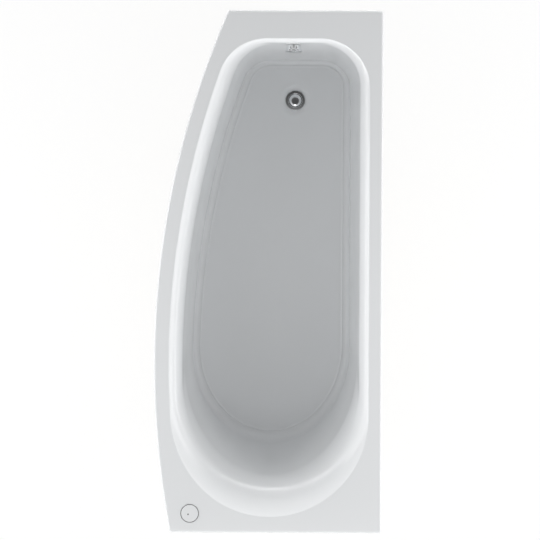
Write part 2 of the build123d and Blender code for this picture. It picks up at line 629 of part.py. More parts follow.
# Top-hat bracket and the fifth foot under the middle of the board
hat_z = BOARD_BOTTOM - HAT_HEIGHT
cx, cy = CENTRE_FOOT_X, CENTRE_FOOT_Y
hat = bar_box(cx - HAT_FLANGE, cx + HAT_FLANGE, cy - HAT_WIDTH / 2, cy + HAT_WIDTH / 2,
              BOARD_BOTTOM - STEEL, BOARD_BOTTOM)
hat -= bar_box(cx - HAT_BODY + STEEL, cx + HAT_BODY - STEEL, cy - HAT_WIDTH / 2, cy + HAT_WIDTH / 2,
               hat_z, BOARD_BOTTOM)
hat += bar_box(cx - HAT_BODY, cx + HAT_BODY, cy - HAT_WIDTH / 2, cy + HAT_WIDTH / 2, hat_z, hat_z + STEEL)
for side in (-1, 1):
    wall_x = cx + side * (HAT_BODY - STEEL / 2)
    hat += bar_box(wall_x - STEEL / 2, wall_x + STEEL / 2, cy - HAT_WIDTH / 2, cy + HAT_WIDTH / 2,
                   hat_z, BOARD_BOTTOM)
hat -= ring(ROD_RADIUS + THREAD_CLEARANCE, 0, hat_z - OVERCUT, hat_z + 2 * STEEL, cx, cy)
for sx in (-1, 1):
    for sy in (-1, 1):
        x, y = cx + sx * HAT_SCREW_X, cy + sy * HAT_SCREW_Y
        hat -= ring(pilot, 0, BOARD_BOTTOM - 2 * STEEL, BOARD_BOTTOM, x, y)
        bar_screws.append(screw(x, y, BOARD_BOTTOM - STEEL, BOARD_SCREW))
save("centre_foot_bracket", hat)
save("baseboard_screws", bar_screws)
height_foot(number + 1, cx, cy, hat_z + STEEL + NUT_HEIGHT + CENTRE_ROD_ABOVE)
foot_nuts.append(hex_nut(cx, cy, hat_z + STEEL))
foot_nuts.append(hex_nut(cx, cy, hat_z - NUT_HEIGHT))
save("foot_nuts", foot_nuts)
save("upright_bolts", bolts)
save("upright_nuts", bolt_nuts)
save("upright_screws", upright_screws)

# Chromed waste flange: a dished ring, a threaded tail and a cross-bar that guides the plug's stem
z0 = RECESS_Z
seat = TAIL_BORE - SEAT_STEP
flange = turned([(FLANGE_RADIUS, z0 + SEAL), (FLANGE_RADIUS, z0 + SEAL + FLANGE_EDGE),
                 (FLANGE_RADIUS - FLANGE_BEVEL, z0 + FLANGE_HEIGHT),
                 (PLUG_RADIUS + PLUG_CLEAR, z0 + SEAT_TOP),
                 (seat, z0 - SEAT_LOW), (seat, z0 - 2 * SEAT_LOW), (TAIL_BORE, z0 - SEAT_BACK),
                 (TAIL_BORE, z0 - TAIL_LENGTH), (TAIL_RADIUS, z0 - TAIL_LENGTH), (TAIL_RADIUS, z0 + SEAL)],
                WASTE_X, WASTE_Y)
web_low, web_high = z0 - WEB_DROP - WEB_HEIGHT, z0 - WEB_DROP
web = bar_box(WASTE_X - TAIL_BORE - OVERCUT, WASTE_X + TAIL_BORE + OVERCUT, WASTE_Y - WEB / 2,
              WASTE_Y + WEB / 2, web_low, web_high)
flange += web + ring(STEM_RADIUS + HUB_WALL, 0, web_low, web_high, WASTE_X, WASTE_Y)
flange -= ring(STEM_RADIUS + RUNNING_CLEARANCE, 0, web_low - OVERCUT, web_high + OVERCUT, WASTE_X, WASTE_Y)
save("waste_flange", flange)
save("waste_flange_seal", ring(FLANGE_RADIUS - SEAL, SHELL_HOLE, z0, z0 + SEAL, WASTE_X, WASTE_Y))

# Plug: a domed cap, its rubber ring and the stem that it stands on
dome_radius = (PLUG_RADIUS ** 2 + DOME_RISE ** 2) / (2 * DOME_RISE)
dome_top = z0 + PLUG_EDGE + DOME_RISE
plug = ring(PLUG_RADIUS, 0, z0 + PLUG_UNDER, dome_top, WASTE_X, WASTE_Y)
plug &= Pos(WASTE_X, WASTE_Y, dome_top - dome_radius) * Sphere(dome_radius)
plug += ring(PLUG_RADIUS - PLUG_STEP, 0, z0 - PLUG_BELOW, z0 + PLUG_UNDER, WASTE_X, WASTE_Y)
plug -= ring(STEM_RADIUS + RUNNING_CLEARANCE, 0, z0 - OVERCUT, z0 + STEM_IN_CAP, WASTE_X, WASTE_Y)
save("plug_cap", plug)
seal_low = z0 - PLUG_BELOW - PLUG_SEAL
save("plug_seal", ring(seat + SEAL_OVER, STEM_RADIUS + RUNNING_CLEARANCE, seal_low, z0 - PLUG_BELOW,
                       WASTE_X, WASTE_Y))
stem = ring(STEM_RADIUS, 0, z0 - TAIL_LENGTH, z0 + STEM_IN_CAP, WASTE_X, WASTE_Y)
stem += ring(STEM_COLLAR, 0, seal_low - COLLAR_HEIGHT, seal_low, WASTE_X, WASTE_Y)
save("plug_stem", stem)

# Waste body under the floor, its seal and the lifter that pushes the stem up
body_top = z0 - SKIN - BODY_SEAL
chamber_low = body_top - BODY_DEPTH
tail_low = chamber_low - OUTLET_TAIL
save("waste_body_seal", ring(BODY_FLANGE - SEAL_IN, SHELL_HOLE, body_top, z0 - SKIN, WASTE_X, WASTE_Y))
bore = TAIL_RADIUS + THREAD_CLEARANCE
outlet_bore = TAIL_RADIUS - CUP_WALL - THREAD_CLEARANCE
waste_body = turned([(bore, body_top), (BODY_FLANGE, body_top), (BODY_FLANGE, body_top - SKIN),
                     (BODY_OUTER, body_top - SKIN), (BODY_OUTER, chamber_low), (TAIL_RADIUS, chamber_low),
                     (TAIL_RADIUS, tail_low), (outlet_bore, tail_low), (outlet_bore, chamber_low + CUP_WALL),
                     (bore, chamber_low + CUP_WALL)], WASTE_X, WASTE_Y)
branch_z = chamber_low + CUP_WALL + SPIGOT_BORE
branch = Pos(WASTE_X, WASTE_Y, branch_z) * Rot(0, -90, 0)
port = Pos(WASTE_X, WASTE_Y - CABLE_OFFSET, branch_z) * Rot(0, -90, 0)
waste_body += branch * ring(SPIGOT_RADIUS, 0, bore, SPIGOT_REACH)
waste_body += port * ring(PORT_RADIUS, 0, BODY_OUTER / 2, PORT_REACH)
waste_body -= ring(bore, 0, chamber_low + CUP_WALL, body_top, WASTE_X, WASTE_Y)
waste_body -= branch * ring(SPIGOT_BORE, 0, 0, SPIGOT_REACH)
waste_body -= port * ring(CABLE_RADIUS + RUNNING_CLEARANCE, 0, 0, PORT_REACH)
guide_low = tail_low + GUIDE_UP
waste_body += bar_box(WASTE_X - outlet_bore - OVERCUT, WASTE_X + outlet_bore + OVERCUT, WASTE_Y - WEB / 2,
                      WASTE_Y + WEB / 2, guide_low, guide_low + WEB_HEIGHT)
waste_body += ring(LIFTER_RADIUS + HUB_WALL, 0, guide_low, guide_low + WEB_HEIGHT, WASTE_X, WASTE_Y)
waste_body -= ring(LIFTER_RADIUS + RUNNING_CLEARANCE, 0, guide_low - OVERCUT,
                   guide_low + WEB_HEIGHT + OVERCUT, WASTE_X, WASTE_Y)
save("waste_body", waste_body)
lifter = ring(LIFTER_RADIUS, 0, guide_low - LIFTER_BELOW, z0 - TAIL_LENGTH, WASTE_X, WASTE_Y)
lifter += ring(LIFTER_HEAD, 0, z0 - TAIL_LENGTH - WASHER, z0 - TAIL_LENGTH, WASTE_X, WASTE_Y)
save("plug_lifter", lifter)

# Overflow behind the waste end wall, square to the sloping wall
behind = -SKIN - 2 * BOND_GAP - BACKING
flange_back = behind - BODY_SEAL - CUP_WALL
chamber_back = flange_back - OVERFLOW_BODY_LENGTH
save("overflow_seal", overflow_place * ring(OVERFLOW_FLANGE, OVERFLOW_HOLE, behind - BODY_SEAL, behind))
overflow = ring(OVERFLOW_FLANGE, OVERFLOW_HOLE, flange_back, behind - BODY_SEAL)
overflow += ring(OVERFLOW_BODY_RADIUS, OVERFLOW_BODY_RADIUS - CUP_WALL, chamber_back, flange_back)
overflow += ring(OVERFLOW_BODY_RADIUS, OVERFLOW_HOLE, flange_back - CUP_WALL, flange_back)
overflow += ring(OVERFLOW_BODY_RADIUS, SPINDLE_RADIUS + RUNNING_CLEARANCE, chamber_back - CUP_WALL,
                 chamber_back)
overflow = overflow_place * overflow
spigot_x = overflow_x - OVERFLOW_SPIGOT
overflow_z = RIM_HEIGHT - OVERFLOW_DEPTH
spigot_low = overflow_z - OVERFLOW_BODY_RADIUS - SPIGOT_DROP
overflow += ring(SPIGOT_RADIUS, 0, spigot_low, overflow_z - OVERFLOW_BODY_RADIUS + CUP_WALL,
                 spigot_x, OVERFLOW_Y)
overflow += ring(PORT_RADIUS, 0, spigot_low + SPIGOT_DROP / 2, overflow_z - PORT_RADIUS,
                 spigot_x, OVERFLOW_Y - CABLE_OFFSET)
overflow -= ring(SPIGOT_BORE, 0, spigot_low, overflow_z - OVERFLOW_BODY_RADIUS + 2 * CUP_WALL,
                 spigot_x, OVERFLOW_Y)
overflow -= ring(CABLE_RADIUS + RUNNING_CLEARANCE, 0, spigot_low,
                 overflow_z - 2 * PORT_RADIUS + CABLE_RADIUS, spigot_x, OVERFLOW_Y - CABLE_OFFSET)
overflow -= overflow_place * ring(OVERFLOW_BODY_RADIUS - CUP_WALL, 0, chamber_back, flange_back - CUP_WALL)
faceplate = ring(OVERFLOW_PLATE, SPINDLE_RADIUS + RUNNING_CLEARANCE, 0, PLATE_THICKNESS)
plate_screws = []
for side in (-1, 1):
    lug = ring(LUG_RADIUS, SCREW_RADIUS / 2 + SCREW_CLEARANCE, flange_back - CUP_WALL,
               behind - BODY_SEAL, 0, side * LUG_OFFSET)
    overflow += overflow_place * lug
    faceplate -= ring(SCREW_RADIUS / 2 + SCREW_CLEARANCE, 0, 0, PLATE_THICKNESS, 0, side * LUG_OFFSET)
    pin = ring(SCREW_RADIUS / 2, 0, flange_back, PLATE_THICKNESS, 0, side * LUG_OFFSET)
    pin += ring(SCREW_RADIUS, 0, PLATE_THICKNESS, PLATE_THICKNESS + SCREW_RADIUS / 2, 0, side * LUG_OFFSET)
    plate_screws.append(overflow_place * pin)
    slot = Pos(side * SLOT_OFFSET, 0, 0) * extrude(SlotOverall(SLOT_LENGTH, SLOT_WIDTH, 90), PLATE_THICKNESS)
    faceplate -= slot
save("overflow_body", overflow)
save("overflow_faceplate", overflow_place * faceplate)
save("faceplate_screws", plate_screws)

# Knob: a hollow bell with a groove near its front, on a spindle that winds the cable
front = KNOB_GAP + KNOB_LENGTH
groove = front - KNOB_GROOVE_BACK
behind_groove = groove - GROOVE_SLOPE
knob_bore = KNOB_RADIUS - KNOB_WALL
knob = turned([(0, front), (KNOB_RADIUS - KNOB_BEVEL, front), (KNOB_RADIUS, front - KNOB_EDGE),
               (KNOB_RADIUS, groove + GROOVE_HALF), (KNOB_RADIUS - GROOVE_DEPTH, groove),
               (KNOB_RADIUS - GROOVE_HALF, behind_groove), (KNOB_NECK, KNOB_GAP),
               (KNOB_NECK - KNOB_BEVEL, KNOB_GAP), (knob_bore, behind_groove), (knob_bore, front - KNOB_FACE),
               (HUB, front - KNOB_FACE), (HUB, KNOB_GAP + HUB_BACK), (0, KNOB_GAP + HUB_BACK)])
knob -= ring(SPINDLE_RADIUS, 0, KNOB_GAP, front - KNOB_FACE)
save("overflow_knob", overflow_place * knob)
spindle = ring(SPINDLE_RADIUS, 0, chamber_back - CUP_WALL, front - KNOB_FACE)
save("knob_spindle", overflow_place * spindle)
drum_low = chamber_back + CUP_WALL
drum = turned([(SPINDLE_RADIUS, drum_low), (DRUM_RADIUS, drum_low), (DRUM_RADIUS, drum_low + DRUM_STEP),
               (DRUM_RADIUS - DRUM_GROOVE, drum_low + 2 * DRUM_STEP), (DRUM_RADIUS, drum_low + 3 * DRUM_STEP),
               (DRUM_RADIUS, drum_low + 4 * DRUM_STEP), (SPINDLE_RADIUS, drum_low + 4 * DRUM_STEP)])
save("cable_drum", overflow_place * drum)


def pipe(points, outer, inner=0.0):
    """Bent tube along straight runs joined by arcs as large as the runs allow."""
    runs = [(b - a) for a, b in zip(points, points[1:])]
    radii = []
    for first, second in zip(runs, runs[1:]):
        turn = math.radians(first.get_angle(second))
        radii.append(RUN_SHARE * min(first.length, second.length) / math.tan(turn / 2))
    path = FilletPolyline(*points, radius=radii)
    start = Plane(origin=points[0], z_dir=runs[0])
    tube = sweep(start * Circle(outer), path=path)
    if inner:
        tube -= sweep(start * Circle(inner), path=path)
    print("tube", [round(r) for r in radii], round(path.length))
    return tube


def drop_route(y_shift, top, reach):
    """Route down the outside of the waste end wall and in to the waste body."""
    top_y, low_y = OVERFLOW_Y - y_shift, WASTE_Y - y_shift
    return [Vector(spigot_x, top_y, top), Vector(spigot_x, top_y, top - HOSE_STRAIGHT),
            Vector(spigot_x, low_y, branch_z + HOSE_TURN), Vector(spigot_x, low_y, branch_z),
            Vector(WASTE_X - reach, low_y, branch_z)]


hose_top = spigot_low + SPIGOT_GRIP
save("overflow_hose", pipe(drop_route(0, hose_top, SPIGOT_REACH - SPIGOT_GRIP), HOSE_RADIUS, HOSE_BORE))
save("plug_cable", pipe(drop_route(CABLE_OFFSET, spigot_low + SPIGOT_DROP / 2 + CABLE_GRIP,
                                   PORT_REACH - CABLE_GRIP), CABLE_RADIUS))
collar = ring(HOSE_RADIUS + STEEL, HOSE_RADIUS + RUNNING_CLEARANCE, 0, COLLAR)
save("hose_collars", [Pos(spigot_x, OVERFLOW_Y, hose_top - COLLAR - COLLAR_IN) * collar,
                      Pos(WASTE_X - SPIGOT_REACH + SPIGOT_GRIP - COLLAR - COLLAR_IN, WASTE_Y, branch_z)
                      * Rot(0, 90, 0) * collar])

# Trap: a cup with a dip tube, joined to the waste body by a union nut
nut_low = tail_low - WASHER - TRAP_RING - CUP_WALL
save("trap_washer", ring(TAIL_RADIUS, outlet_bore, tail_low - WASHER, tail_low, WASTE_X, WASTE_Y))
union_nut = ring(UNION_RADIUS, bore, nut_low + CUP_WALL, nut_low + UNION_HEIGHT, WASTE_X, WASTE_Y)
union_nut += ring(UNION_RADIUS, TAIL_BORE + THREAD_CLEARANCE * 2, nut_low, nut_low + CUP_WALL,
                  WASTE_X, WASTE_Y)
for i in range(UNION_RIBS):
    rib = Rot(0, 0, i * 360 / UNION_RIBS) * bar_box(UNION_RADIUS - RIB_HEIGHT, UNION_RADIUS + RIB_HEIGHT,
                                                    -RIB_HEIGHT, RIB_HEIGHT, nut_low, nut_low + UNION_HEIGHT)
    union_nut += Pos(WASTE_X, WASTE_Y, 0) * rib
save("trap_union_nut", union_nut)
cup_top = nut_low - THREAD_CLEARANCE * 2
cup_low = cup_top - CUP_HEIGHT
axis_z = cup_top - PIPE_DROP
neck = TAIL_BORE + THREAD_CLEARANCE
neck_bore = neck - CUP_WALL
ring_low = nut_low + CUP_WALL
trap = ring(CUP_RADIUS, 0, cup_low, cup_top, WASTE_X, WASTE_Y)
spout = Pos(WASTE_X, WASTE_Y, axis_z) * Rot(-90, 0, 0)
trap += spout * ring(PIPE_BORE, 0, 0, SOCKET_STOP)
trap += spout * ring(SOCKET_RADIUS, 0, SOCKET_STOP - CUP_WALL, SOCKET_END)
trap -= ring(CUP_RADIUS - CUP_WALL, 0, cup_low + CUP_WALL, cup_top - CUP_WALL, WASTE_X, WASTE_Y)
trap -= spout * ring(PIPE_BORE - CUP_WALL, 0, 0, SOCKET_END)
trap -= spout * ring(PIPE_BORE, 0, SOCKET_STOP, SOCKET_END)
dip = ring(neck, 0, cup_low + CUP_WALL + DIP_GAP, tail_low - WASHER - TRAP_RING, WASTE_X, WASTE_Y)
dip += ring(TAIL_RADIUS, 0, ring_low, tail_low - WASHER, WASTE_X, WASTE_Y)
trap += dip
trap -= ring(neck_bore, 0, cup_low + CUP_WALL, tail_low, WASTE_X, WASTE_Y)
trap -= ring(CAP_BORE, 0, cup_low - CUP_WALL, cup_low + CUP_WALL, WASTE_X, WASTE_Y)
save("trap_body", trap)
cleaning = ring(CAP_BORE - SCREW_CLEARANCE, 0, cup_low, cup_low + CUP_WALL, WASTE_X, WASTE_Y)
cleaning += ring(CAP_BORE + CLEANING_EDGE, 0, cup_low - CLEANING_EDGE, cup_low, WASTE_X, WASTE_Y)
cleaning += bar_box(WASTE_X - CAP_BORE, WASTE_X + CAP_BORE, WASTE_Y - GRIP_HALF, WASTE_Y + GRIP_HALF,
                    cup_low - CLEANING_EDGE - GRIP_HEIGHT, cup_low - CLEANING_EDGE)
save("trap_cleaning_cap", cleaning)
save("outlet_washer", spout * ring(SOCKET_RADIUS, PIPE_BORE, SOCKET_END, SOCKET_END + WASHER))
outlet_nut = ring(OUTLET_NUT, SOCKET_RADIUS + THREAD_CLEARANCE, SOCKET_END - OUTLET_GRIP, SOCKET_END + WASHER)
outlet_nut += ring(OUTLET_NUT, PIPE_BORE, SOCKET_END + WASHER, SOCKET_END + WASHER + CUP_WALL)
save("outlet_nut", spout * outlet_nut)
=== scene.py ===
import bpy
import bmesh
import json
import math
from mathutils import Matrix, Vector


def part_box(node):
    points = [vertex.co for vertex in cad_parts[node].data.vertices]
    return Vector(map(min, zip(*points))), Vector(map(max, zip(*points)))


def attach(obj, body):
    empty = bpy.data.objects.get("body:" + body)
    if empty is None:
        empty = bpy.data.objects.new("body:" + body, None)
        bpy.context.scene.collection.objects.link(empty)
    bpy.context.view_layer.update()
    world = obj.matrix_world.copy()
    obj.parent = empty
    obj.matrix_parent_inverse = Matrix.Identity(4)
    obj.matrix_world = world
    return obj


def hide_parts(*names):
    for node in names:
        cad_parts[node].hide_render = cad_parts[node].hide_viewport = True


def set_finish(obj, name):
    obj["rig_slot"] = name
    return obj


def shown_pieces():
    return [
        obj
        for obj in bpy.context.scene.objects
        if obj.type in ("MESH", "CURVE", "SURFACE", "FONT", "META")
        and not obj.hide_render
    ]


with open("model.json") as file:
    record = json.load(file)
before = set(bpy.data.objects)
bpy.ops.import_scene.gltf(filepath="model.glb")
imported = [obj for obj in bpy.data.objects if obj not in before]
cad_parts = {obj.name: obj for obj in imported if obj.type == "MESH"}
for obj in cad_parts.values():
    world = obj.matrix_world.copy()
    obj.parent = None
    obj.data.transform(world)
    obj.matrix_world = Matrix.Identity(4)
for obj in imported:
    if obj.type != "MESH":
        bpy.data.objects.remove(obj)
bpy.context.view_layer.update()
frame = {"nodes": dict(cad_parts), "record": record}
nodes = frame["nodes"]
MM = 0.001

# The camera.
# It looks straight down from high over the middle of the bath, with the waste end at the top.
RIM_HEIGHT = 580
CAMERA_ABOVE_RIM = 6500
CAMERA_X, CAMERA_Y = -4.6, 5.4
FRAME_WIDTH = 1652
CAMERA_ROLL = 0.27
bpy.ops.object.camera_add(location=(CAMERA_X * MM, CAMERA_Y * MM, (RIM_HEIGHT + CAMERA_ABOVE_RIM) * MM),
                          rotation=(0, 0, math.radians(90 + CAMERA_ROLL)))
camera = bpy.context.object
camera.data.sensor_width = 36
camera.data.lens = 36 * CAMERA_ABOVE_RIM / FRAME_WIDTH
camera.data.clip_end = 50
bpy.context.scene.camera = camera
bpy.context.scene.view_settings.view_transform = "Standard"


# The acrylic skin of the bath.
# One sheet of white acrylic is heated and drawn into a mould: a flat rim with a turned-down lip, a
# rolled edge, the well with its half-round back-rest, and a dished recess for the waste.
class Value:
    """A shader socket that can stand in a sum, so that a mask or a height is written as one."""

    def __init__(self, nodes, socket):
        self.nodes = nodes
        self.socket = socket

    def maths(self, kind, first, second):
        return self.nodes.add("ShaderNodeMath", {"operation": kind}, {0: first, 1: second})

    def __add__(self, other):
        return self.maths("ADD", self, other)

    def __sub__(self, other):
        return self.maths("SUBTRACT", self, other)

    def __rsub__(self, other):
        return self.maths("SUBTRACT", other, self)

    def __mul__(self, other):
        return self.maths("MULTIPLY", self, other)

    def __pow__(self, other):
        return self.maths("POWER", self, other)

    __radd__ = __add__
    __rmul__ = __mul__

    def at_least(self, other):
        return self.maths("MAXIMUM", self, other)

    def at_most(self, other):
        return self.maths("MINIMUM", self, other)


class Nodes:
    """The node tree of a material or of the world."""

    def __init__(self, tree, place):
        self.tree = tree
        self.place = self.add("ShaderNodeTexCoord", {}, {}, place)

    def add(self, kind, settings, values, out=0):
        """One node: its settings first, then the values or links of its sockets."""
        made = self.tree.nodes.new(kind)
        for name, setting in settings.items():
            if name != "stops":
                setattr(made, name, setting)
                continue
            ramp = made.color_ramp
            ramp.elements[0].position, ramp.elements[1].position = setting[0][0], setting[-1][0]
            for at, shade in setting[1:-1]:
                ramp.elements.new(at)
            for element, (at, shade) in zip(ramp.elements, setting):
                element.color = (shade, shade, shade, 1)
        for name, value in values.items():
            if isinstance(value, Value):
                self.tree.links.new(value.socket, made.inputs[name])
            else:
                made.inputs[name].default_value = value
        return Value(self, made.outputs[out])

    def part(self, axis, place=None):
        """X, Y or Z of the place on the piece."""
        return self.add("ShaderNodeSeparateXYZ", {}, {0: place or self.place}, axis)

    def stretched(self, *scale):
        return self.add("ShaderNodeMapping", {}, {"Vector": self.place, "Scale": scale})

    def noise(self, scale, detail=3.0, place=None):
        values = {"Vector": place or self.place, "Scale": scale, "Detail": detail}
        return self.add("ShaderNodeTexNoise", {}, values, "Fac")

    def cells(self, scale, out="Distance", place=None):
        return self.add("ShaderNodeTexVoronoi", {}, {"Vector": place or self.place, "Scale": scale}, out)

    def ramp(self, value, *stops):
        return self.add("ShaderNodeValToRGB", {"stops": stops}, {"Fac": value}, "Color")

    def tint(self, mask, first, second):
        """The first colour or the second, by a mask."""
        colours = [c if isinstance(c, Value) else (*c, 1) for c in (first, second)]
        values = {"Factor": mask, 6: colours[0], 7: colours[1]}
        return self.add("ShaderNodeMix", {"data_type": "RGBA"}, values, 2)


class Finish(Nodes):
    """One material: its surface, and what varies it from place to place."""

    def __init__(self, name, colour, rough, metal=0.0):
        self.material = bpy.data.materials.new(name)
        self.material.use_nodes = True
        super().__init__(self.material.node_tree, "Object")
        self.surface = self.tree.nodes["Principled BSDF"]
        self.put("Base Color", (*colour, 1.0))
        self.put("Roughness", rough)
        self.put("Metallic", metal)

    def put(self, socket, value):
        if isinstance(value, Value):
            self.tree.links.new(value.socket, self.surface.inputs[socket])
        else:
            self.surface.inputs[socket].default_value = value

    def bump(self, height, strength, distance):
        """Relief of a height in millimetres."""
        values = {"Height": height, "Strength": strength, "Distance": distance * MM}
        self.put("Normal", self.add("ShaderNodeBump", {}, values, "Normal"))

    def on(self, *pieces):
        for piece in pieces:
            piece.data.materials.clear()
            piece.data.materials.append(self.material)


finishes = {}
slot_of = {part["node"]: part["material_slot"] for part in frame["record"]["subparts"]}
body_of = {node: body for body, members in frame["record"]["behaviour"]["bodies"].items() for node in members}


def put_in_place(piece, *parts):
    """The piece stands for these CAD nodes, moves with their body and takes their material slot."""
    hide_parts(*parts)
    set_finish(piece, slot_of[parts[0]])
    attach(piece, body_of[parts[0]])


def start_ring(name, ring):
    """A circle whose points are put at the places of the first ring."""
    bpy.ops.object.select_all(action="DESELECT")
    bpy.ops.mesh.primitive_circle_add(vertices=len(ring), radius=1, enter_editmode=True)
    piece = bpy.context.object
    piece.name = name
    mesh = bmesh.from_edit_mesh(piece.data)
    mesh.verts.ensure_lookup_table()
    for point, place in zip(mesh.verts, ring):
        point.co = Vector(place) * MM
    return piece


def grow_ring(piece, ring, first):
    """The last ring is extruded and its new points are moved to the next ring's places."""
    bpy.ops.mesh.extrude_edges_move()
    mesh = bmesh.from_edit_mesh(piece.data)
    mesh.verts.index_update()
    for point in [v for v in mesh.verts if v.select]:
        old = next(e.other_vert(point) for e in point.link_edges if not e.other_vert(point).select)
        point.co = Vector(ring[old.index - first]) * MM


def build_up(name, rings, closed=True):
    """A surface of rings, each in millimetres, with both ends filled if it is closed."""
    piece = start_ring(name, rings[0])
    if closed:
        bpy.ops.mesh.edge_face_add()
        mesh = bmesh.from_edit_mesh(piece.data)
        for face in list(mesh.faces):
            face.select_set(False)
        for edge in mesh.edges:
            edge.select_set(True)
    for number, ring in enumerate(rings[1:]):
        grow_ring(piece, ring, number * len(ring))
    if closed:
        bpy.ops.mesh.edge_face_add()
    bpy.ops.mesh.select_all(action="SELECT")
    bpy.ops.mesh.normals_make_consistent(inside=False)
    bpy.ops.object.mode_set(mode="OBJECT")
    return piece


def finish_modifier(piece, kind, **settings):
    """Add one modifier to a piece and apply it."""
    bpy.ops.object.select_all(action="DESELECT")
    piece.select_set(True)
    bpy.context.view_layer.objects.active = piece
    modifier = piece.modifiers.new(kind, kind)
    for name, setting in settings.items():
        setattr(modifier, name, setting)
    bpy.ops.object.modifier_apply(modifier=modifier.name)


def smooth(piece, angle=35):
    bpy.ops.object.select_all(action="DESELECT")
    piece.select_set(True)
    bpy.context.view_layer.objects.active = piece
    bpy.ops.object.shade_smooth_by_angle(angle=math.radians(angle))


LENGTH, WIDTH = 1600, 700
BOW_RADIUS, BOW_X = 2700, 277
BOW_CENTRE_Y = BOW_RADIUS - WIDTH / 2
SKIN, LIP_DEPTH, LIP_RADIUS, RIM_CORNER = 4, 38, 7, 9
RIM_BACK, RIM_FRONT, RIM_TAP, RIM_HEAD = 41.6, 47, 87, 50
WELL_DEPTH = 400
FLOOR_Z = RIM_HEIGHT - WELL_DEPTH
CORNER_RIM, CORNER_FLOOR = 150, 68
HEAD_X_RIM, HEAD_X_ROLL, HEAD_X_FLOOR = 445, 290, 239
WASTE = Vector((-556, 85, 0))
RECESS_RADIUS, RECESS_DEPTH, SHELL_HOLE = 49, 4, 26
TANGENT = 4 / 3 * math.tan(math.pi / 8)
STEPS = {"back": 36, "head": 48, "front": 56, "tap_front": 36, "tap": 16, "tap_back": 36}


def bow_y(x, radius):
    return BOW_CENTRE_Y - math.sqrt(radius ** 2 - (x - BOW_X) ** 2)


class Wall:
    """Section through one side of the well: rolled edge, straight wall and round foot."""

    def __init__(self, roll_width, roll_height, foot_width, foot_height, total, fall=0.34):
        self.roll = (roll_width, roll_height)
        self.foot = (foot_width, foot_height)
        self.total = total
        self.fall = fall
        self.slope = (total - roll_width - foot_width) / (WELL_DEPTH - roll_height - foot_height)

    def inset(self, depth):
        width, height = self.roll
        if depth < height:
            bend = 1 - 2 * self.fall
            t = (math.sqrt(self.fall ** 2 + bend * depth / height) - self.fall) / bend
            return 2 * t * (1 - t) * (width - height * (1 - self.fall) * self.slope) + t * t * width
        foot, rise = self.foot
        if depth > WELL_DEPTH - rise:
            t = math.sqrt(max(WELL_DEPTH - depth, 0) / rise)
            return self.total - 2 * t * (1 - t) * (foot - rise * self.slope) - t * t * foot
        return width + (depth - height) * self.slope

    def offset(self, depth, gap):
        if not gap:
            return self.inset(depth)
        steps = [gap * (i / 20 - 1) for i in range(41)]
        steps = [s for s in steps if 0 <= depth + s <= WELL_DEPTH]
        return min(self.inset(depth + s) - math.sqrt(gap ** 2 - s ** 2) for s in steps)


BACK, FRONT = Wall(28, 50, 20, 20, 66), Wall(40, 62, 20, 20, 80)
TAP, HEAD = Wall(11, 22, 15, 20, 44), Wall(118, 120, 35, 30, 231, fall=0.42)


def curve(a, b, c, d, count):
    """Points along a cubic curve, without its last."""
    parts = [(i / count) for i in range(count)]
    return [a * (1 - t) ** 3 + b * 3 * t * (1 - t) ** 2 + c * 3 * t * t * (1 - t) + d * t ** 3 for t in parts]


def arc(centre, radius, start, end, count):
    """Points along an arc, without its last, from one angle to another."""
    turns = [start + (end - start) * i / count for i in range(count)]
    return [Vector((centre.x + radius * math.cos(a), centre.y + radius * math.sin(a), 0)) for a in turns]


def well_ring(depth, gap=0.0, inward=0.0):
    """Outline of the well at a depth, moved out by a gap or in by a distance along the floor."""
    level = min(depth, WELL_DEPTH + gap)
    head = HEAD.offset(level, gap)
    tap = TAP.offset(level, gap)
    y_back = WIDTH / 2 - RIM_BACK - BACK.offset(level, gap) - inward
    radius = BOW_CENTRE_Y + WIDTH / 2 - RIM_FRONT - FRONT.offset(level, gap) - inward
    x_tap = -LENGTH / 2 + RIM_TAP + tap + inward
    x_head = LENGTH / 2 - RIM_HEAD - head - inward
    corner = CORNER_RIM - (CORNER_RIM - CORNER_FLOOR) * tap / TAP.total - inward
    if head < HEAD.roll[0]:
        x_mid = HEAD_X_RIM + (HEAD_X_ROLL - HEAD_X_RIM) * max(head, 0) / HEAD.roll[0]
    else:
        share = (head - HEAD.roll[0]) / (HEAD.total - HEAD.roll[0])
        x_mid = HEAD_X_ROLL + (HEAD_X_FLOOR - HEAD_X_ROLL) * share
    y_side = bow_y(x_mid, radius)
    y_mid, half, reach = (y_back + y_side) / 2, (y_back - y_side) / 2, x_head - x_mid
    lean = (x_mid - BOW_X) / (BOW_CENTRE_Y - y_side)
    turn = Vector((x_tap + corner, bow_y(x_tap + corner, radius - corner), 0))
    bow = Vector((BOW_X, BOW_CENTRE_Y, 0))
    out = turn - bow
    angle_end = math.atan2(out.y, out.x)
    angle_start = math.atan2(y_side - bow.y, x_mid - bow.x)
    start = Vector((x_tap + corner, y_back, 0))
    end = Vector((x_mid, y_back, 0))
    nose = Vector((x_head, y_mid, 0))
    side = Vector((x_mid, y_side, 0))
    lead = Vector((TANGENT * reach, 0, 0))
    rise = Vector((0, TANGENT * half, 0))
    count = STEPS["back"]
    ring = [start.lerp(end, i / count) for i in range(count)]
    ring += curve(end, end + lead, nose + rise, nose, STEPS["head"])
    ring += curve(nose, nose - rise, side + lead + Vector((0, lead.x * lean, 0)), side, STEPS["head"])
    ring += arc(bow, radius, angle_start, angle_end, STEPS["front"])
    ring += arc(turn, corner, angle_end, -math.pi, STEPS["tap_front"])
    low = Vector((x_tap, turn.y, 0))
    high = Vector((x_tap, y_back - corner, 0))
    ring += [low.lerp(high, i / STEPS["tap"]) for i in range(STEPS["tap"])]
    ring += arc(Vector((x_tap + corner, y_back - corner, 0)), corner, math.pi, math.pi / 2, STEPS["tap_back"])
    for point in ring:
        point.z = RIM_HEIGHT - depth
    return ring


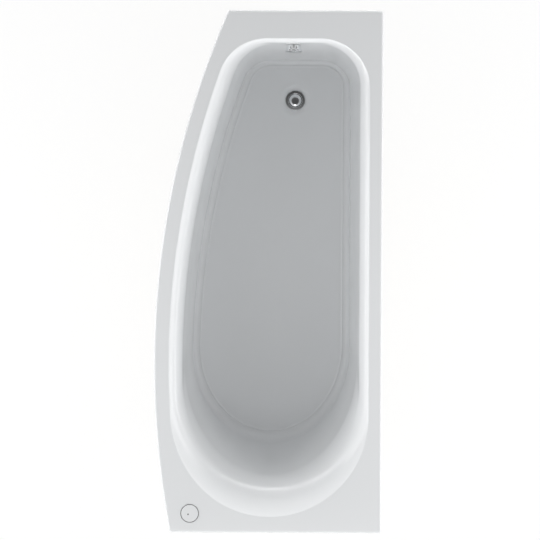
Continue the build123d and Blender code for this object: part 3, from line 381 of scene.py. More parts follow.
def corner_run(first, corner, last, radius, count):
    """From one side of the rim round a corner to the next side, without the last point."""
    into, out = (corner - first).normalized(), (last - corner).normalized()
    cut = radius * math.tan(into.angle(out) / 2)
    a, b = corner - into * cut, corner + out * cut
    leg, bend = round(count * 0.4), count - 2 * round(count * 0.4)
    run = [first.lerp(a, i / leg) for i in range(leg)]
    for i in range(bend):
        t = i / bend
        run.append(a * (1 - t) ** 2 + corner * 2 * t * (1 - t) + b * t * t)
    return run + [b.lerp(last, i / leg) for i in range(leg)]


def rim_ring(inset, z):
    """Outer edge of the rim moved in by an inset, with its points in step with the well's."""
    x, y, radius = LENGTH / 2 - inset, WIDTH / 2 - inset, BOW_RADIUS - inset
    edge = max(RIM_CORNER - inset, 1.5)

    def bowed(points):
        return [p if p.y > bow_y(p.x, radius) else Vector((p.x, bow_y(p.x, radius), 0)) for p in points]

    tap_x = -LENGTH / 2 + RIM_TAP + CORNER_RIM
    front_x = tap_x - CORNER_RIM * 0.35
    count = STEPS["back"]
    start, end = Vector((tap_x, y, 0)), Vector((HEAD_X_RIM, y, 0))
    ring = [start.lerp(end, i / count) for i in range(count)]
    nose = Vector((x, 0, 0))
    ring += corner_run(end, Vector((x, y, 0)), nose, edge, STEPS["head"])
    side = Vector((HEAD_X_RIM, bow_y(HEAD_X_RIM, radius), 0))
    ring += bow_corner(nose, Vector((x, bow_y(x, radius), 0)), side, edge, STEPS["head"], radius)
    count = STEPS["front"]
    places = [HEAD_X_RIM + (front_x - HEAD_X_RIM) * i / count for i in range(count)]
    ring += [Vector((p, bow_y(p, radius), 0)) for p in places]
    low = Vector((-x, 20, 0))
    run = bow_corner(low, Vector((-x, bow_y(-x, radius), 0)),
                     Vector((front_x, bow_y(front_x, radius), 0)), edge, STEPS["tap_front"], radius)
    run.append(Vector((front_x, bow_y(front_x, radius), 0)))
    ring += list(reversed(run))[:-1]
    high = Vector((-x, WIDTH / 2 - RIM_BACK - CORNER_RIM, 0))
    ring += [low.lerp(high, i / STEPS["tap"]) for i in range(STEPS["tap"])]
    ring += corner_run(high, Vector((-x, y, 0)), start, edge, STEPS["tap_back"])
    for point in ring:
        point.z = z
    return ring


def bow_corner(first, corner, last, edge, count, radius):
    """The same where the second side is the bowed front."""
    run = corner_run(first, corner, last, edge, count)
    leg = round(count * 0.4)
    for point in run[count - leg:]:
        point.y = bow_y(point.x, radius)
    return run


def lathe_ring(radius, z, centre=WASTE, like=None, count=96):
    """Circle about an upright axis, in step with another ring if one is given."""
    if like:
        ways = [Vector((p.x - centre.x, p.y - centre.y, 0)).normalized() for p in like]
    else:
        ways = [Vector((math.cos(i * math.tau / count), math.sin(i * math.tau / count), 0)) for i in range(count)]
    return [Vector((centre.x + w.x * radius, centre.y + w.y * radius, z)) for w in ways]


ROLL_LEVELS, WALL_LEVELS, FOOT_LEVELS = 48, 20, 14
FOOT_TOP = WELL_DEPTH - HEAD.foot[1]
depths = [HEAD.roll[1] * (i / ROLL_LEVELS) ** 2 for i in range(ROLL_LEVELS + 1)]
depths += [HEAD.roll[1] + (FOOT_TOP - HEAD.roll[1]) * i / WALL_LEVELS for i in range(1, WALL_LEVELS + 1)]
depths += [WELL_DEPTH - HEAD.foot[1] * (1 - i / FOOT_LEVELS) ** 2 for i in range(1, FOOT_LEVELS + 1)]
LIP_STEPS = 8
rings = [rim_ring(0, RIM_HEIGHT - LIP_DEPTH), rim_ring(0, RIM_HEIGHT - LIP_RADIUS - 2)]
for step in range(LIP_STEPS + 1):
    turn = math.pi / 2 * step / LIP_STEPS
    rings.append(rim_ring(LIP_RADIUS * (1 - math.cos(turn)), RIM_HEIGHT - LIP_RADIUS * (1 - math.sin(turn))))
rings.append(rim_ring(LIP_RADIUS + 3, RIM_HEIGHT))
CREST = 2.5
rings.append(well_ring(0, inward=-CREST))
rings += [well_ring(depth) for depth in depths]
# The floor is let in by a fine bead inside the round foot of the walls
BEAD = [(1.5, 0.9), (3.0, 1.35), (4.5, 0.7), (8.0, 0.0), (10.0, 0.0), (13.0, 0.0)]
for inward, rise in BEAD:
    rings.append(well_ring(WELL_DEPTH, inward=inward))
    for point in rings[-1]:
        point.z = RIM_HEIGHT - WELL_DEPTH + rise
floor_z = RIM_HEIGHT - WELL_DEPTH - 0.1
floor_ring = rings[-1]
rings.append(lathe_ring(RECESS_RADIUS + 6, floor_z, like=floor_ring))
DISH_FOOT, DISH_STEPS = 34, 6
for step in range(DISH_STEPS + 1):
    share = step / DISH_STEPS
    radius = RECESS_RADIUS + (DISH_FOOT - RECESS_RADIUS) * share
    rings.append(lathe_ring(radius, floor_z - RECESS_DEPTH * share, like=floor_ring))
rings.append(lathe_ring(SHELL_HOLE, floor_z - RECESS_DEPTH, like=floor_ring))
skin = build_up("acrylic_skin", rings, closed=False)
if skin.data.polygons[len(skin.data.polygons) - 1].normal.z < 0:
    skin.data.flip_normals()
finish_modifier(skin, "SOLIDIFY", thickness=SKIN * MM, offset=-1, use_even_offset=True)
put_in_place(skin, "acrylic_shell")

WHITE = (0.796, 0.809, 0.820)
acrylic = Finish("white_acrylic", WHITE, 0.15)
finishes["white_acrylic"] = acrylic
acrylic.put("IOR", 1.49)
acrylic.put("Roughness", 0.12 + acrylic.noise(9, 2) * 0.07)
acrylic.bump(acrylic.noise(45, 2), 0.06, 0.4)

OVERFLOW_DEPTH, OVERFLOW_Y, OVERFLOW_HOLE = 46, 75, 18
OVERFLOW_PLACE = (Matrix.Translation((-LENGTH / 2 + RIM_TAP + TAP.inset(OVERFLOW_DEPTH), OVERFLOW_Y,
                                      RIM_HEIGHT - OVERFLOW_DEPTH))
                  @ Matrix.Rotation(math.pi / 2 - math.atan(TAP.slope), 4, "Y"))
CAP_IN_HEAD, CAP_IN_FRONT, CAP_HOLE = 59, 72.835, 17.5
cap_x = LENGTH / 2 - CAP_IN_HEAD
CAP_PLACE = Matrix.Translation((cap_x, bow_y(cap_x, BOW_RADIUS) + CAP_IN_FRONT, RIM_HEIGHT))


def turned_rings(profile, place=Matrix.Identity(4), count=96):
    """Rings about an axis from radius and height pairs, set in place."""
    ways = [(math.cos(i * math.tau / count), math.sin(i * math.tau / count)) for i in range(count)]
    return [[place @ Vector((x * radius, y * radius, height)) for x, y in ways] for radius, height in profile]


def drill(piece, radius, low, high, place):
    """Cut a round hole through a piece."""
    cutter = build_up("cutter", turned_rings([(radius, low), (radius, high)], place, 64))
    finish_modifier(piece, "BOOLEAN", operation="DIFFERENCE", solver="EXACT", object=cutter)
    bpy.data.objects.remove(cutter)


drill(skin, OVERFLOW_HOLE, -20, 10, OVERFLOW_PLACE)
drill(skin, CAP_HOLE, -20, 10, CAP_PLACE)
smooth(skin, 40)

# The glassfibre coat.
# Chopped glass and resin are sprayed on the back of the warm acrylic to stiffen it, which leaves
# a rough, strand-marked, yellowish skin outside the well that stops short of the rim.
BOND_GAP, COAT, COAT_TOP = 0.3, 3, 8
COAT_OUT = SKIN + BOND_GAP + COAT
COAT_HOLE = RECESS_RADIUS + SKIN + BOND_GAP
UNDERSIDE_STEPS = 5
LUMP, LUMP_SIZE = 2.2, 35
BARE_ROUND_OVERFLOW = 50
coat_rings = [well_ring(d, COAT_OUT) for d in [COAT_TOP] + [d for d in depths if d > COAT_TOP + 2]]
for step in range(1, UNDERSIDE_STEPS + 1):
    coat_rings.append(well_ring(WELL_DEPTH + COAT_OUT * (1 - (1 - step / UNDERSIDE_STEPS) ** 2), COAT_OUT))
coat_edge = coat_rings[-1]
coat_hole = lathe_ring(COAT_HOLE, coat_edge[0].z, like=coat_edge)
coat_rings += [[a.lerp(b, share) for a, b in zip(coat_edge, coat_hole)] for share in (0.25, 0.5, 0.75, 1)]
coat = build_up("glassfibre_coat", coat_rings, closed=False)
if sum(face.normal.z for face in coat.data.polygons if face.center.z < (FLOOR_Z - COAT_OUT / 2) * MM) > 0:
    coat.data.flip_normals()
sprayed = coat.vertex_groups.new(name="sprayed_walls")
for point in coat.data.vertices:
    bare = (point.co / MM - OVERFLOW_PLACE.translation).length < BARE_ROUND_OVERFLOW
    on_wall = FLOOR_Z + HEAD.foot[1] / 2 < point.co.z / MM < RIM_HEIGHT - 2 * COAT_TOP
    sprayed.add([point.index], 1.0 if on_wall and not bare else 0.0, "REPLACE")
lumps = bpy.data.textures.new("sprayed_lumps", "CLOUDS")
lumps.noise_scale = LUMP_SIZE * MM
lumps.noise_depth = 3
finish_modifier(coat, "DISPLACE", texture=lumps, strength=LUMP * MM, mid_level=0.3,
                vertex_group="sprayed_walls", texture_coords="LOCAL")
finish_modifier(coat, "SOLIDIFY", thickness=COAT * MM, offset=-1)
drill(coat, OVERFLOW_HOLE, -30, 10, OVERFLOW_PLACE)
smooth(coat, 50)
put_in_place(coat, "glassfibre_backing")

RESIN, STRAND = (0.60, 0.57, 0.40), (0.80, 0.79, 0.70)
glassfibre = Finish("glassfibre", RESIN, 0.5)
finishes["glassfibre"] = glassfibre
strands = glassfibre.noise(1, 4, glassfibre.stretched(60, 900, 300))
strands = strands.maths("MAXIMUM", strands, glassfibre.noise(1, 4, glassfibre.stretched(900, 300, 60)))
strands = strands.maths("MAXIMUM", strands, glassfibre.noise(1, 4, glassfibre.stretched(300, 60, 900)))
threads = glassfibre.ramp(strands, (0.58, 0), (0.68, 1))
glassfibre.put("Base Color", glassfibre.tint(threads * 0.8 + glassfibre.noise(18, 4) * 0.2, RESIN, STRAND))
glassfibre.put("Roughness", 0.38 + threads * 0.25)
glassfibre.bump(threads * 0.6 + glassfibre.noise(220, 3), 0.7, 1.2)

# The baseboard.
# A sawn sheet of raw chipboard is bonded under the floor of the well and screwed to the cradle.


def eased(node, width, angle=30):
    """A copy of a part of the frame with its edges eased, to stand for it."""
    piece = bpy.data.objects.new(node + "_eased", nodes[node].data.copy())
    bpy.context.collection.objects.link(piece)
    bpy.ops.object.select_all(action="DESELECT")
    piece.select_set(True)
    bpy.context.view_layer.objects.active = piece
    bpy.ops.object.mode_set(mode="EDIT")
    bpy.ops.mesh.select_all(action="SELECT")
    bpy.ops.mesh.remove_doubles(threshold=0.01 * MM)
    bpy.ops.mesh.dissolve_limited(angle_limit=math.radians(0.5))
    bpy.ops.object.mode_set(mode="OBJECT")
    finish_modifier(piece, "BEVEL", width=width * MM, segments=2, limit_method="ANGLE",
                    angle_limit=math.radians(angle), harden_normals=False)
    finish_modifier(piece, "TRIANGULATE")
    smooth(piece, angle)
    put_in_place(piece, node)
    return piece


SAWN_EDGE = 0.8
eased("baseboard", SAWN_EDGE)
CHIP_DARK, CHIP_PALE = (0.30, 0.19, 0.10), (0.66, 0.50, 0.31)
chipboard = Finish("chipboard", CHIP_PALE, 0.75)
finishes["chipboard"] = chipboard
flakes = chipboard.cells(210, "Color", chipboard.stretched(1, 1, 2.5))
fines = chipboard.cells(700, "Color")
chips = chipboard.ramp(flakes * 0.7 + fines * 0.3, (0.15, 0), (0.85, 1))
chipboard.put("Base Color", chipboard.tint(chips, CHIP_DARK, CHIP_PALE))
chipboard.put("Roughness", 0.65 + chips * 0.2)
chipboard.bump(chips + chipboard.noise(400, 2) * 0.5, 0.5, 0.5)

# The rim battens.
# Four lengths of planed softwood are glued under the flat rim, the front one sawn to the bow.
PLANED_EDGE = 1.2
for batten in ("rim_batten_back", "rim_batten_tap_end", "rim_batten_head_end", "rim_batten_front"):
    eased(batten, PLANED_EDGE)
PALE_GRAIN, DARK_GRAIN = (0.76, 0.58, 0.36), (0.55, 0.35, 0.17)


def softwood(name, *grain):
    """Planed softwood with its grain along one way."""
    wood = Finish(name, PALE_GRAIN, 0.6)
    rings = wood.noise(1, 3, wood.stretched(*grain))
    lines = wood.ramp((rings * 9).maths("FRACT", rings * 9, 0), (0, 0.1), (0.75, 0.35), (0.95, 1), (1, 0.1))
    wood.put("Base Color", wood.tint(lines, PALE_GRAIN, DARK_GRAIN))
    wood.put("Roughness", 0.5 + lines * 0.15)
    wood.bump(lines + wood.noise(600, 2) * 0.4, 0.3, 0.3)
    return wood


finishes["softwood"] = softwood("softwood_along", 1.2, 22, 22)
softwood_across = softwood("softwood_across", 22, 1.2, 22)
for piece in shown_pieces():
    if piece.name in ("rim_batten_tap_end_eased", "rim_batten_head_end_eased"):
        softwood_across.on(piece)

# The steel cradle.
# Two folded channels and a top-hat bracket are screwed to the baseboard. Four flat uprights are
# bolted to the channels and screwed to the battens, and two brackets hold the rim to the wall.
FOLD = 0.7
for part in ("wall_brackets", "cradle_bar_tap_end", "cradle_bar_head_end", "centre_foot_bracket",
             "upright_tap_end_back", "upright_tap_end_front", "upright_head_end_back",
             "upright_head_end_front"):
    eased(part, FOLD)
ZINC_DARK, ZINC_PALE = (0.36, 0.38, 0.40), (0.62, 0.64, 0.66)
galvanised = Finish("galvanised_steel", ZINC_PALE, 0.4, metal=1.0)
finishes["galvanised_steel"] = galvanised
spangle = galvanised.ramp(galvanised.cells(75, "Color"), (0.1, 0), (0.9, 1))
galvanised.put("Base Color", galvanised.tint(spangle * 0.6 + galvanised.noise(30, 4) * 0.4, ZINC_DARK, ZINC_PALE))
galvanised.put("Roughness", 0.3 + spangle * 0.18)
galvanised.bump(spangle + galvanised.noise(500, 2) * 0.3, 0.12, 0.3)

# Screws, bolts and nuts.
# Turned and pressed steel, bright zinc plated.
PRESSED_EDGE = 0.35
for part in ("wall_bracket_screws", "baseboard_screws", "upright_screws", "upright_bolts", "upright_nuts",
             "foot_nuts"):
    eased(part, PRESSED_EDGE)
PLATED = (0.62, 0.62, 0.58)
zinc = Finish("zinc_fasteners", PLATED, 0.3, metal=1.0)
finishes["zinc_fasteners"] = zinc
zinc_wear = zinc.noise(160, 4)
zinc.put("Base Color", zinc.tint(zinc_wear, (0.45, 0.44, 0.38), (0.72, 0.72, 0.70)))
zinc.put("Roughness", 0.2 + zinc_wear * 0.25)
zinc.bump(zinc.noise(900, 2), 0.1, 0.1)

# The feet.
# Five fluted black plastic feet, each on a threaded rod between two nuts that set the bath's height.
ROD_RADIUS, THREAD_DEPTH, PITCH, ROD_CHAMFER = 5, 0.65, 1.5, 1
PAD_RADIUS, PAD_HEIGHT, PAD_EDGE, PAD_NECK, FLUTES, FLUTE = 24, 14, 4.2, 10.8, 12, 0.5


def threaded_rod(name, low, high):
    """Rod with a rolled thread and chamfered ends."""
    profile = [(ROD_RADIUS - ROD_CHAMFER, low), (ROD_RADIUS, low + ROD_CHAMFER)]
    turns = int((high - low - 3 * ROD_CHAMFER) / PITCH)
    for turn in range(turns):
        crest = low + 2 * ROD_CHAMFER + turn * PITCH
        profile += [(ROD_RADIUS, crest), (ROD_RADIUS - THREAD_DEPTH, crest + PITCH / 2)]
    profile += [(ROD_RADIUS, high - ROD_CHAMFER), (ROD_RADIUS - ROD_CHAMFER, high)]
    return build_up(name, turned_rings(profile, count=24))


def fluted_pad(name):
    """Moulded foot with a rounded edge, a coned top and shallow flutes."""
    profile = [(PAD_RADIUS - 1.5, 0), (PAD_RADIUS - 0.4, 0.4), (PAD_RADIUS, 1.5), (PAD_RADIUS, PAD_EDGE - 1.2),
               (PAD_RADIUS - 0.5, PAD_EDGE), (PAD_RADIUS - 2, PAD_EDGE + 1.2), (PAD_NECK + 3, PAD_HEIGHT - 3.4),
               (PAD_NECK + 0.8, PAD_HEIGHT - 1), (PAD_NECK - 0.4, PAD_HEIGHT), (ROD_RADIUS + 0.05, PAD_HEIGHT),
               (ROD_RADIUS + 0.05, PAD_HEIGHT / 2)]
    pad_rings = turned_rings(profile)
    for ring in pad_rings[2:8]:
        for point in ring:
            groove = 1 + math.cos(FLUTES * math.atan2(point.y, point.x))
            point.xy *= 1 - FLUTE * groove / PAD_RADIUS
    return build_up(name, pad_rings)


def put_at(original, name, x, y, *parts):
    """A copy of a piece made about the origin, moved to its place in its own mesh."""
    piece = original.copy()
    piece.data = original.data.copy()
    piece.name = name
    bpy.context.collection.objects.link(piece)
    piece.data.transform(Matrix.Translation((x * MM, y * MM, 0)))
    put_in_place(piece, *parts)


def middle_of(node):
    low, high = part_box(node)
    return ((low + high) / 2) / MM


pad = fluted_pad("foot_pad")
smooth(pad, 40)
for number in range(1, 6):
    foot_low, foot_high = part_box(f"foot_rod_{number}")
    if number in (1, 5):
        rod = threaded_rod("foot_rod", foot_low.z / MM, foot_high.z / MM)
        smooth(rod, 50)
    middle = middle_of(f"foot_rod_{number}")
    put_at(rod, f"threaded_rod_{number}", middle.x, middle.y, f"foot_rod_{number}")
    put_at(pad, f"fluted_pad_{number}", middle.x, middle.y, f"foot_pad_{number}")
    if number in (4, 5):
        bpy.data.objects.remove(rod)
bpy.data.objects.remove(pad)
black = Finish("black_plastic", (0.025, 0.025, 0.027), 0.45)
finishes["black_plastic"] = black
black.put("Base Color", black.tint(black.noise(60, 4), (0.018, 0.018, 0.020), (0.045, 0.044, 0.043)))
black.put("Roughness", 0.38 + black.noise(40, 4) * 0.2)
black.bump(black.noise(1500, 2), 0.15, 0.15)

# The waste.
# A chromed brass ring with a dished lip screws through the floor into a moulded body below, and
# clamps two rubber washers. A cross-bar inside it guides the stem of the plug.
FLANGE_RADIUS, FLANGE_HEIGHT, SEAL = 32.5, 4.2, 1.5
PLUG_RADIUS, PLUG_CLEAR, SEAT_TOP = 20.3, 1.2, 1.0
TAIL_BORE, TAIL_RADIUS, TAIL_LENGTH, SEAT_RADIUS = 21, 23.8, 30, 18
LIP_ROUND, DISH_FALL = 1.6, 1.1
RECESS_Z = FLOOR_Z - RECESS_DEPTH
WASTE_PLACE = Matrix.Translation((WASTE.x, WASTE.y, RECESS_Z))


def quarter(centre, start, end, radius, steps=5):
    """Points of an arc in a profile, from one angle in degrees to another."""
    turns = [math.radians(start + (end - start) * i / steps) for i in range(steps + 1)]
    return [(centre[0] + radius * math.cos(t), centre[1] + radius * math.sin(t)) for t in turns]


crown = FLANGE_RADIUS - LIP_ROUND
flange_profile = [(TAIL_RADIUS, SEAL), (FLANGE_RADIUS - 0.3, SEAL), (FLANGE_RADIUS, SEAL + 0.3)]
flange_profile += quarter((crown, FLANGE_HEIGHT - LIP_ROUND), 0, 90, LIP_ROUND)
dish_inner = PLUG_RADIUS + PLUG_CLEAR
dish_foot = dish_inner + 1.2
dish_slope = DISH_FALL / (crown - 0.6 - dish_foot)
for radius in (crown - 0.6, crown - 1.0, crown - 1.4, dish_foot + 0.6, dish_foot + 0.2):
    flange_profile.append((radius, FLANGE_HEIGHT - dish_slope * (crown - 0.6 - radius)))
flange_profile += [(dish_foot - 0.3, FLANGE_HEIGHT - DISH_FALL - 0.3), (dish_inner + 0.2, SEAT_TOP + 0.4), (dish_inner, SEAT_TOP)]
flange_profile += [(dish_inner - 0.9, SEAT_TOP - 0.5), (SEAT_RADIUS + 0.6, -2.2), (SEAT_RADIUS, -3.2), (SEAT_RADIUS, -6),
                   (TAIL_BORE, -8), (TAIL_BORE, 0.8 - TAIL_LENGTH), (TAIL_BORE + 0.8, -TAIL_LENGTH),
                   (TAIL_RADIUS - 0.8, -TAIL_LENGTH), (TAIL_RADIUS, 0.8 - TAIL_LENGTH), (TAIL_RADIUS, SEAL)]


def turned(name, profile, place=Matrix.Identity(4), count=96, angle=30):
    """A hollow turned piece, whose profile comes back to its start."""
    piece = build_up(name, turned_rings(profile, place, count), closed=False)
    bpy.ops.object.mode_set(mode="EDIT")
    bpy.ops.mesh.select_all(action="SELECT")
    bpy.ops.mesh.remove_doubles(threshold=0.001 * MM)
    bpy.ops.mesh.normals_make_consistent(inside=False)
    bpy.ops.object.mode_set(mode="OBJECT")
    smooth(piece, angle)
    return piece


def joined(name, *parts):
    """Several closed shapes made one piece."""
    bpy.ops.object.select_all(action="DESELECT")
    for part in parts:
        part.select_set(True)
    bpy.context.view_layer.objects.active = parts[0]
    bpy.ops.object.join()
    parts[0].name = name
    return parts[0]


def bar(name, low, high, edge):
    """A block between two corners with its edges eased."""
    bpy.ops.object.select_all(action="DESELECT")
    bpy.ops.mesh.primitive_cube_add(size=1, enter_editmode=True)
    size = (Vector(high) - Vector(low)) * MM
    bpy.ops.transform.resize(value=size)
    bpy.ops.transform.translate(value=(Vector(high) + Vector(low)) / 2 * MM)
    bpy.ops.object.mode_set(mode="OBJECT")
    piece = bpy.context.object
    piece.name = name
    finish_modifier(piece, "BEVEL", width=edge * MM, segments=2, limit_method="ANGLE")
    return piece


WEB, WEB_HEIGHT, WEB_DROP, HUB_RADIUS, STEM_RADIUS = 5, 6, 14, 6.5, 3
web_low, web_high = RECESS_Z - WEB_DROP - WEB_HEIGHT, RECESS_Z - WEB_DROP
web_bars = []
for side in (-1, 1):
    ends = sorted((WASTE.x + side * (STEM_RADIUS + 1), WASTE.x + side * (TAIL_BORE + 1)))
    web_bars.append(bar("web", (ends[0], WASTE.y - WEB / 2, web_low), (ends[1], WASTE.y + WEB / 2, web_high), 0.5))
hub = turned("hub", [(STEM_RADIUS + 0.05, -WEB_DROP), (HUB_RADIUS, -WEB_DROP), (HUB_RADIUS, -WEB_DROP - WEB_HEIGHT),
                     (STEM_RADIUS + 0.05, -WEB_DROP - WEB_HEIGHT), (STEM_RADIUS + 0.05, -WEB_DROP)], WASTE_PLACE, 48)
flange = joined("waste_ring", turned("flange", flange_profile, WASTE_PLACE, 128), hub, *web_bars)
put_in_place(flange, "waste_flange")
MOULDED_EDGE = 0.5
eased("waste_body", MOULDED_EDGE)

CHROME_CLEAN, CHROME_SMEARED = (0.70, 0.71, 0.72), (0.63, 0.645, 0.66)
chrome = Finish("chrome", CHROME_CLEAN, 0.06, metal=1.0)
finishes["chrome"] = chrome
smears = chrome.ramp(chrome.noise(35, 4), (0.35, 0), (0.7, 1))
chrome.put("Roughness", 0.04 + smears * 0.06)
chrome.put("Base Color", chrome.tint(smears, CHROME_CLEAN, CHROME_SMEARED))
rubber = Finish("rubber", (0.03, 0.03, 0.03), 0.7)
finishes["rubber"] = rubber
rubber.put("Base Color", rubber.tint(rubber.noise(90, 3), (0.02, 0.02, 0.02), (0.055, 0.053, 0.05)))
rubber.put("Roughness", 0.6 + rubber.noise(90, 3) * 0.2)
rubber.bump(rubber.noise(1200, 2), 0.3, 0.2)
GREY_PALE, GREY_DARK = (0.33, 0.34, 0.35), (0.25, 0.26, 0.27)
grey = Finish("grey_plastic", GREY_PALE, 0.45)
finishes["grey_plastic"] = grey
grey.put("Base Color", grey.tint(grey.noise(45, 3), GREY_PALE, GREY_DARK))
grey.put("Roughness", 0.38 + grey.noise(70, 3) * 0.16)
grey.bump(grey.noise(1400, 2), 0.12, 0.12)

# The plug.
# A pressed dome with a rolled edge, chromed, on a brass stem with a rubber ring below it. The
# lifter under it is the brass pin that the knob's cable pushes up.
DOME_RISE, PLUG_EDGE, PLUG_UNDER, PLUG_STEP, PLUG_BELOW = 4.6, 2.6, 1.2, 0.9, 0.4
EDGE_ROUND, DOME_STEPS = 0.9, 14
DOME_POWER = 3.2
plug_profile = [(PLUG_RADIUS - PLUG_STEP - 0.5, -PLUG_BELOW), (PLUG_RADIUS - PLUG_STEP, PLUG_UNDER - 0.4),
                (PLUG_RADIUS - PLUG_STEP, PLUG_UNDER), (PLUG_RADIUS - 0.3, PLUG_UNDER), (PLUG_RADIUS, PLUG_UNDER + 0.4)]
plug_profile += quarter((PLUG_RADIUS - EDGE_ROUND, PLUG_EDGE - EDGE_ROUND), 0, 50, EDGE_ROUND)
for step in range(DOME_STEPS + 1):
    share = max(0.001, 0.965 * (1 - step / DOME_STEPS))
    plug_profile.append((PLUG_RADIUS * share, PLUG_EDGE + DOME_RISE * (1 - share ** DOME_POWER)))
plug = build_up("plug_dome", turned_rings(plug_profile, WASTE_PLACE))
smooth(plug, 40)
put_in_place(plug, "plug_cap")
for part in ("plug_stem", "plug_lifter", "knob_spindle"):
    eased(part, PRESSED_EDGE)
brass = Finish("brass", (0.62, 0.44, 0.20), 0.28, metal=1.0)
finishes["brass"] = brass
tool_marks = brass.noise(1, 3, brass.stretched(8, 8, 2500))
brass.put("Base Color", brass.tint(brass.noise(50, 4), (0.50, 0.34, 0.14), (0.70, 0.52, 0.26)))
brass.put("Roughness", 0.2 + tool_marks * 0.2)
brass.bump(tool_marks, 0.1, 0.1)

# The overflow.
# A moulded body sits behind the waste end wall with a rubber washer, and two screws through the
# slotted faceplate clamp the wall between them.
for part in ("overflow_body", "overflow_faceplate", "cable_drum"):
    eased(part, 0.3)
white = Finish("white_plastic", WHITE, 0.2)
finishes["white_plastic"] = white
white.put("Base Color", white.tint(white.noise(12, 2), WHITE, (0.77, 0.78, 0.775)))
white.put("Roughness", 0.14 + white.noise(30, 3) * 0.1)
white.bump(white.noise(900, 2), 0.03, 0.1)

# The overflow knob.
# A chromed bell with a fine groove behind its front edge, turned to lift the plug. Water passes
# behind it, between its open back and the wall.
KNOB_RADIUS, KNOB_NECK, KNOB_GAP, KNOB_LENGTH = 25, 22, 4, 20
KNOB_WALL, KNOB_FACE, GROOVE_BACK, GROOVE_DEPTH, GROOVE_HALF = 3.2, 3, 5, 1.0, 0.6
HUB, HUB_BACK = 8, 2
front = KNOB_GAP + KNOB_LENGTH
groove = front - GROOVE_BACK
FACE_EDGE, FACE_DOME, FACE_STEPS = 0.8, 0.5, 8
knob_profile = []
for step in range(FACE_STEPS + 1):
    share = 0.001 + 0.999 * step / FACE_STEPS
    knob_profile.append(((KNOB_RADIUS - FACE_EDGE) * share, front - FACE_DOME * share ** 2))
knob_profile += quarter((KNOB_RADIUS - FACE_EDGE, front - FACE_DOME - FACE_EDGE), 80, 0, FACE_EDGE)
knob_profile += [(KNOB_RADIUS, groove + 0.9), (KNOB_RADIUS - 0.25, groove + 0.45), (KNOB_RADIUS - GROOVE_DEPTH, groove + 0.3),
                 (KNOB_RADIUS - GROOVE_DEPTH, groove - 0.3), (KNOB_RADIUS - 0.8, groove - 0.5),
                 (KNOB_RADIUS - GROOVE_HALF, groove - 0.9)]
BELL_STEPS = 8
for step in range(1, BELL_STEPS + 1):
    share = step / BELL_STEPS
    bell = KNOB_RADIUS - GROOVE_HALF - (KNOB_RADIUS - GROOVE_HALF - KNOB_NECK) * share ** 0.8
    knob_profile.append((bell, groove - 0.9 - (groove - 0.9 - KNOB_GAP - 0.4) * share))
knob_profile += [(KNOB_NECK - 0.4, KNOB_GAP), (KNOB_NECK - 1.6, KNOB_GAP), (KNOB_NECK - 2, KNOB_GAP + 0.4),
                 (KNOB_RADIUS - KNOB_WALL, groove - 0.8), (KNOB_RADIUS - KNOB_WALL, front - KNOB_FACE), (HUB, front - KNOB_FACE),
                 (HUB, KNOB_GAP + HUB_BACK), (0.01, KNOB_GAP + HUB_BACK)]
knob = build_up("knob_bell", turned_rings(knob_profile, OVERFLOW_PLACE, 128))
smooth(knob, 35)
put_in_place(knob, "overflow_knob")

# The overflow hose.
# A corrugated white hose drops from the overflow body behind the waste end wall and bends in to
# the branch of the waste body, held at both ends by a collar.
HOSE_RADIUS, HOSE_WALL, CORRUGATION, FOLD_DEPTH, CUFF = 13, 2.3, 5, 1.6, 16
SPIGOT_X, SPIGOT_REACH, SPIGOT_GRIP, HOSE_STRAIGHT, HOSE_TURN, RUN_SHARE = -26, 50, 15, 84, 160, 0.45
hose_low, hose_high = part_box("overflow_hose")
branch_z = hose_low.z / MM + HOSE_RADIUS
spigot_x = OVERFLOW_PLACE.translation.x + SPIGOT_X
hose_top = hose_high.z / MM
corners = [Vector((spigot_x, OVERFLOW_Y, hose_top)), Vector((spigot_x, OVERFLOW_Y, hose_top - HOSE_STRAIGHT)),
           Vector((spigot_x, WASTE.y, branch_z + HOSE_TURN)), Vector((spigot_x, WASTE.y, branch_z)),
           Vector((WASTE.x - SPIGOT_REACH + SPIGOT_GRIP, WASTE.y, branch_z))]


def rounded_route(corners, step):
    """Points and directions a step apart along straight runs joined by arcs."""
    points = [corners[0]]
    for before, corner, after in zip(corners, corners[1:], corners[2:]):
        into, out = corner - before, after - corner
        cut = RUN_SHARE * min(into.length, out.length)
        start, end = corner - into.normalized() * cut, corner + out.normalized() * cut
        turn = into.angle(out)
        radius = cut / math.tan(turn / 2)
        inward = (out.normalized() - into.normalized()).normalized()
        centre = corner + inward * (radius / math.cos(turn / 2))
        bend = 24
        for i in range(bend + 1):
            share = i / bend
            way = (start - centre).normalized().slerp((end - centre).normalized(), share)
            points.append(centre + way * radius)
    points.append(corners[-1])
    spots, ways, travelled = [], [], 0
    for a, b in zip(points, points[1:]):
        length = (b - a).length
        while travelled < length:
            spots.append(a.lerp(b, travelled / length))
            ways.append((b - a).normalized())
            travelled += step
        travelled -= length
    return spots + [points[-1]], ways + [(points[-1] - points[-2]).normalized()]


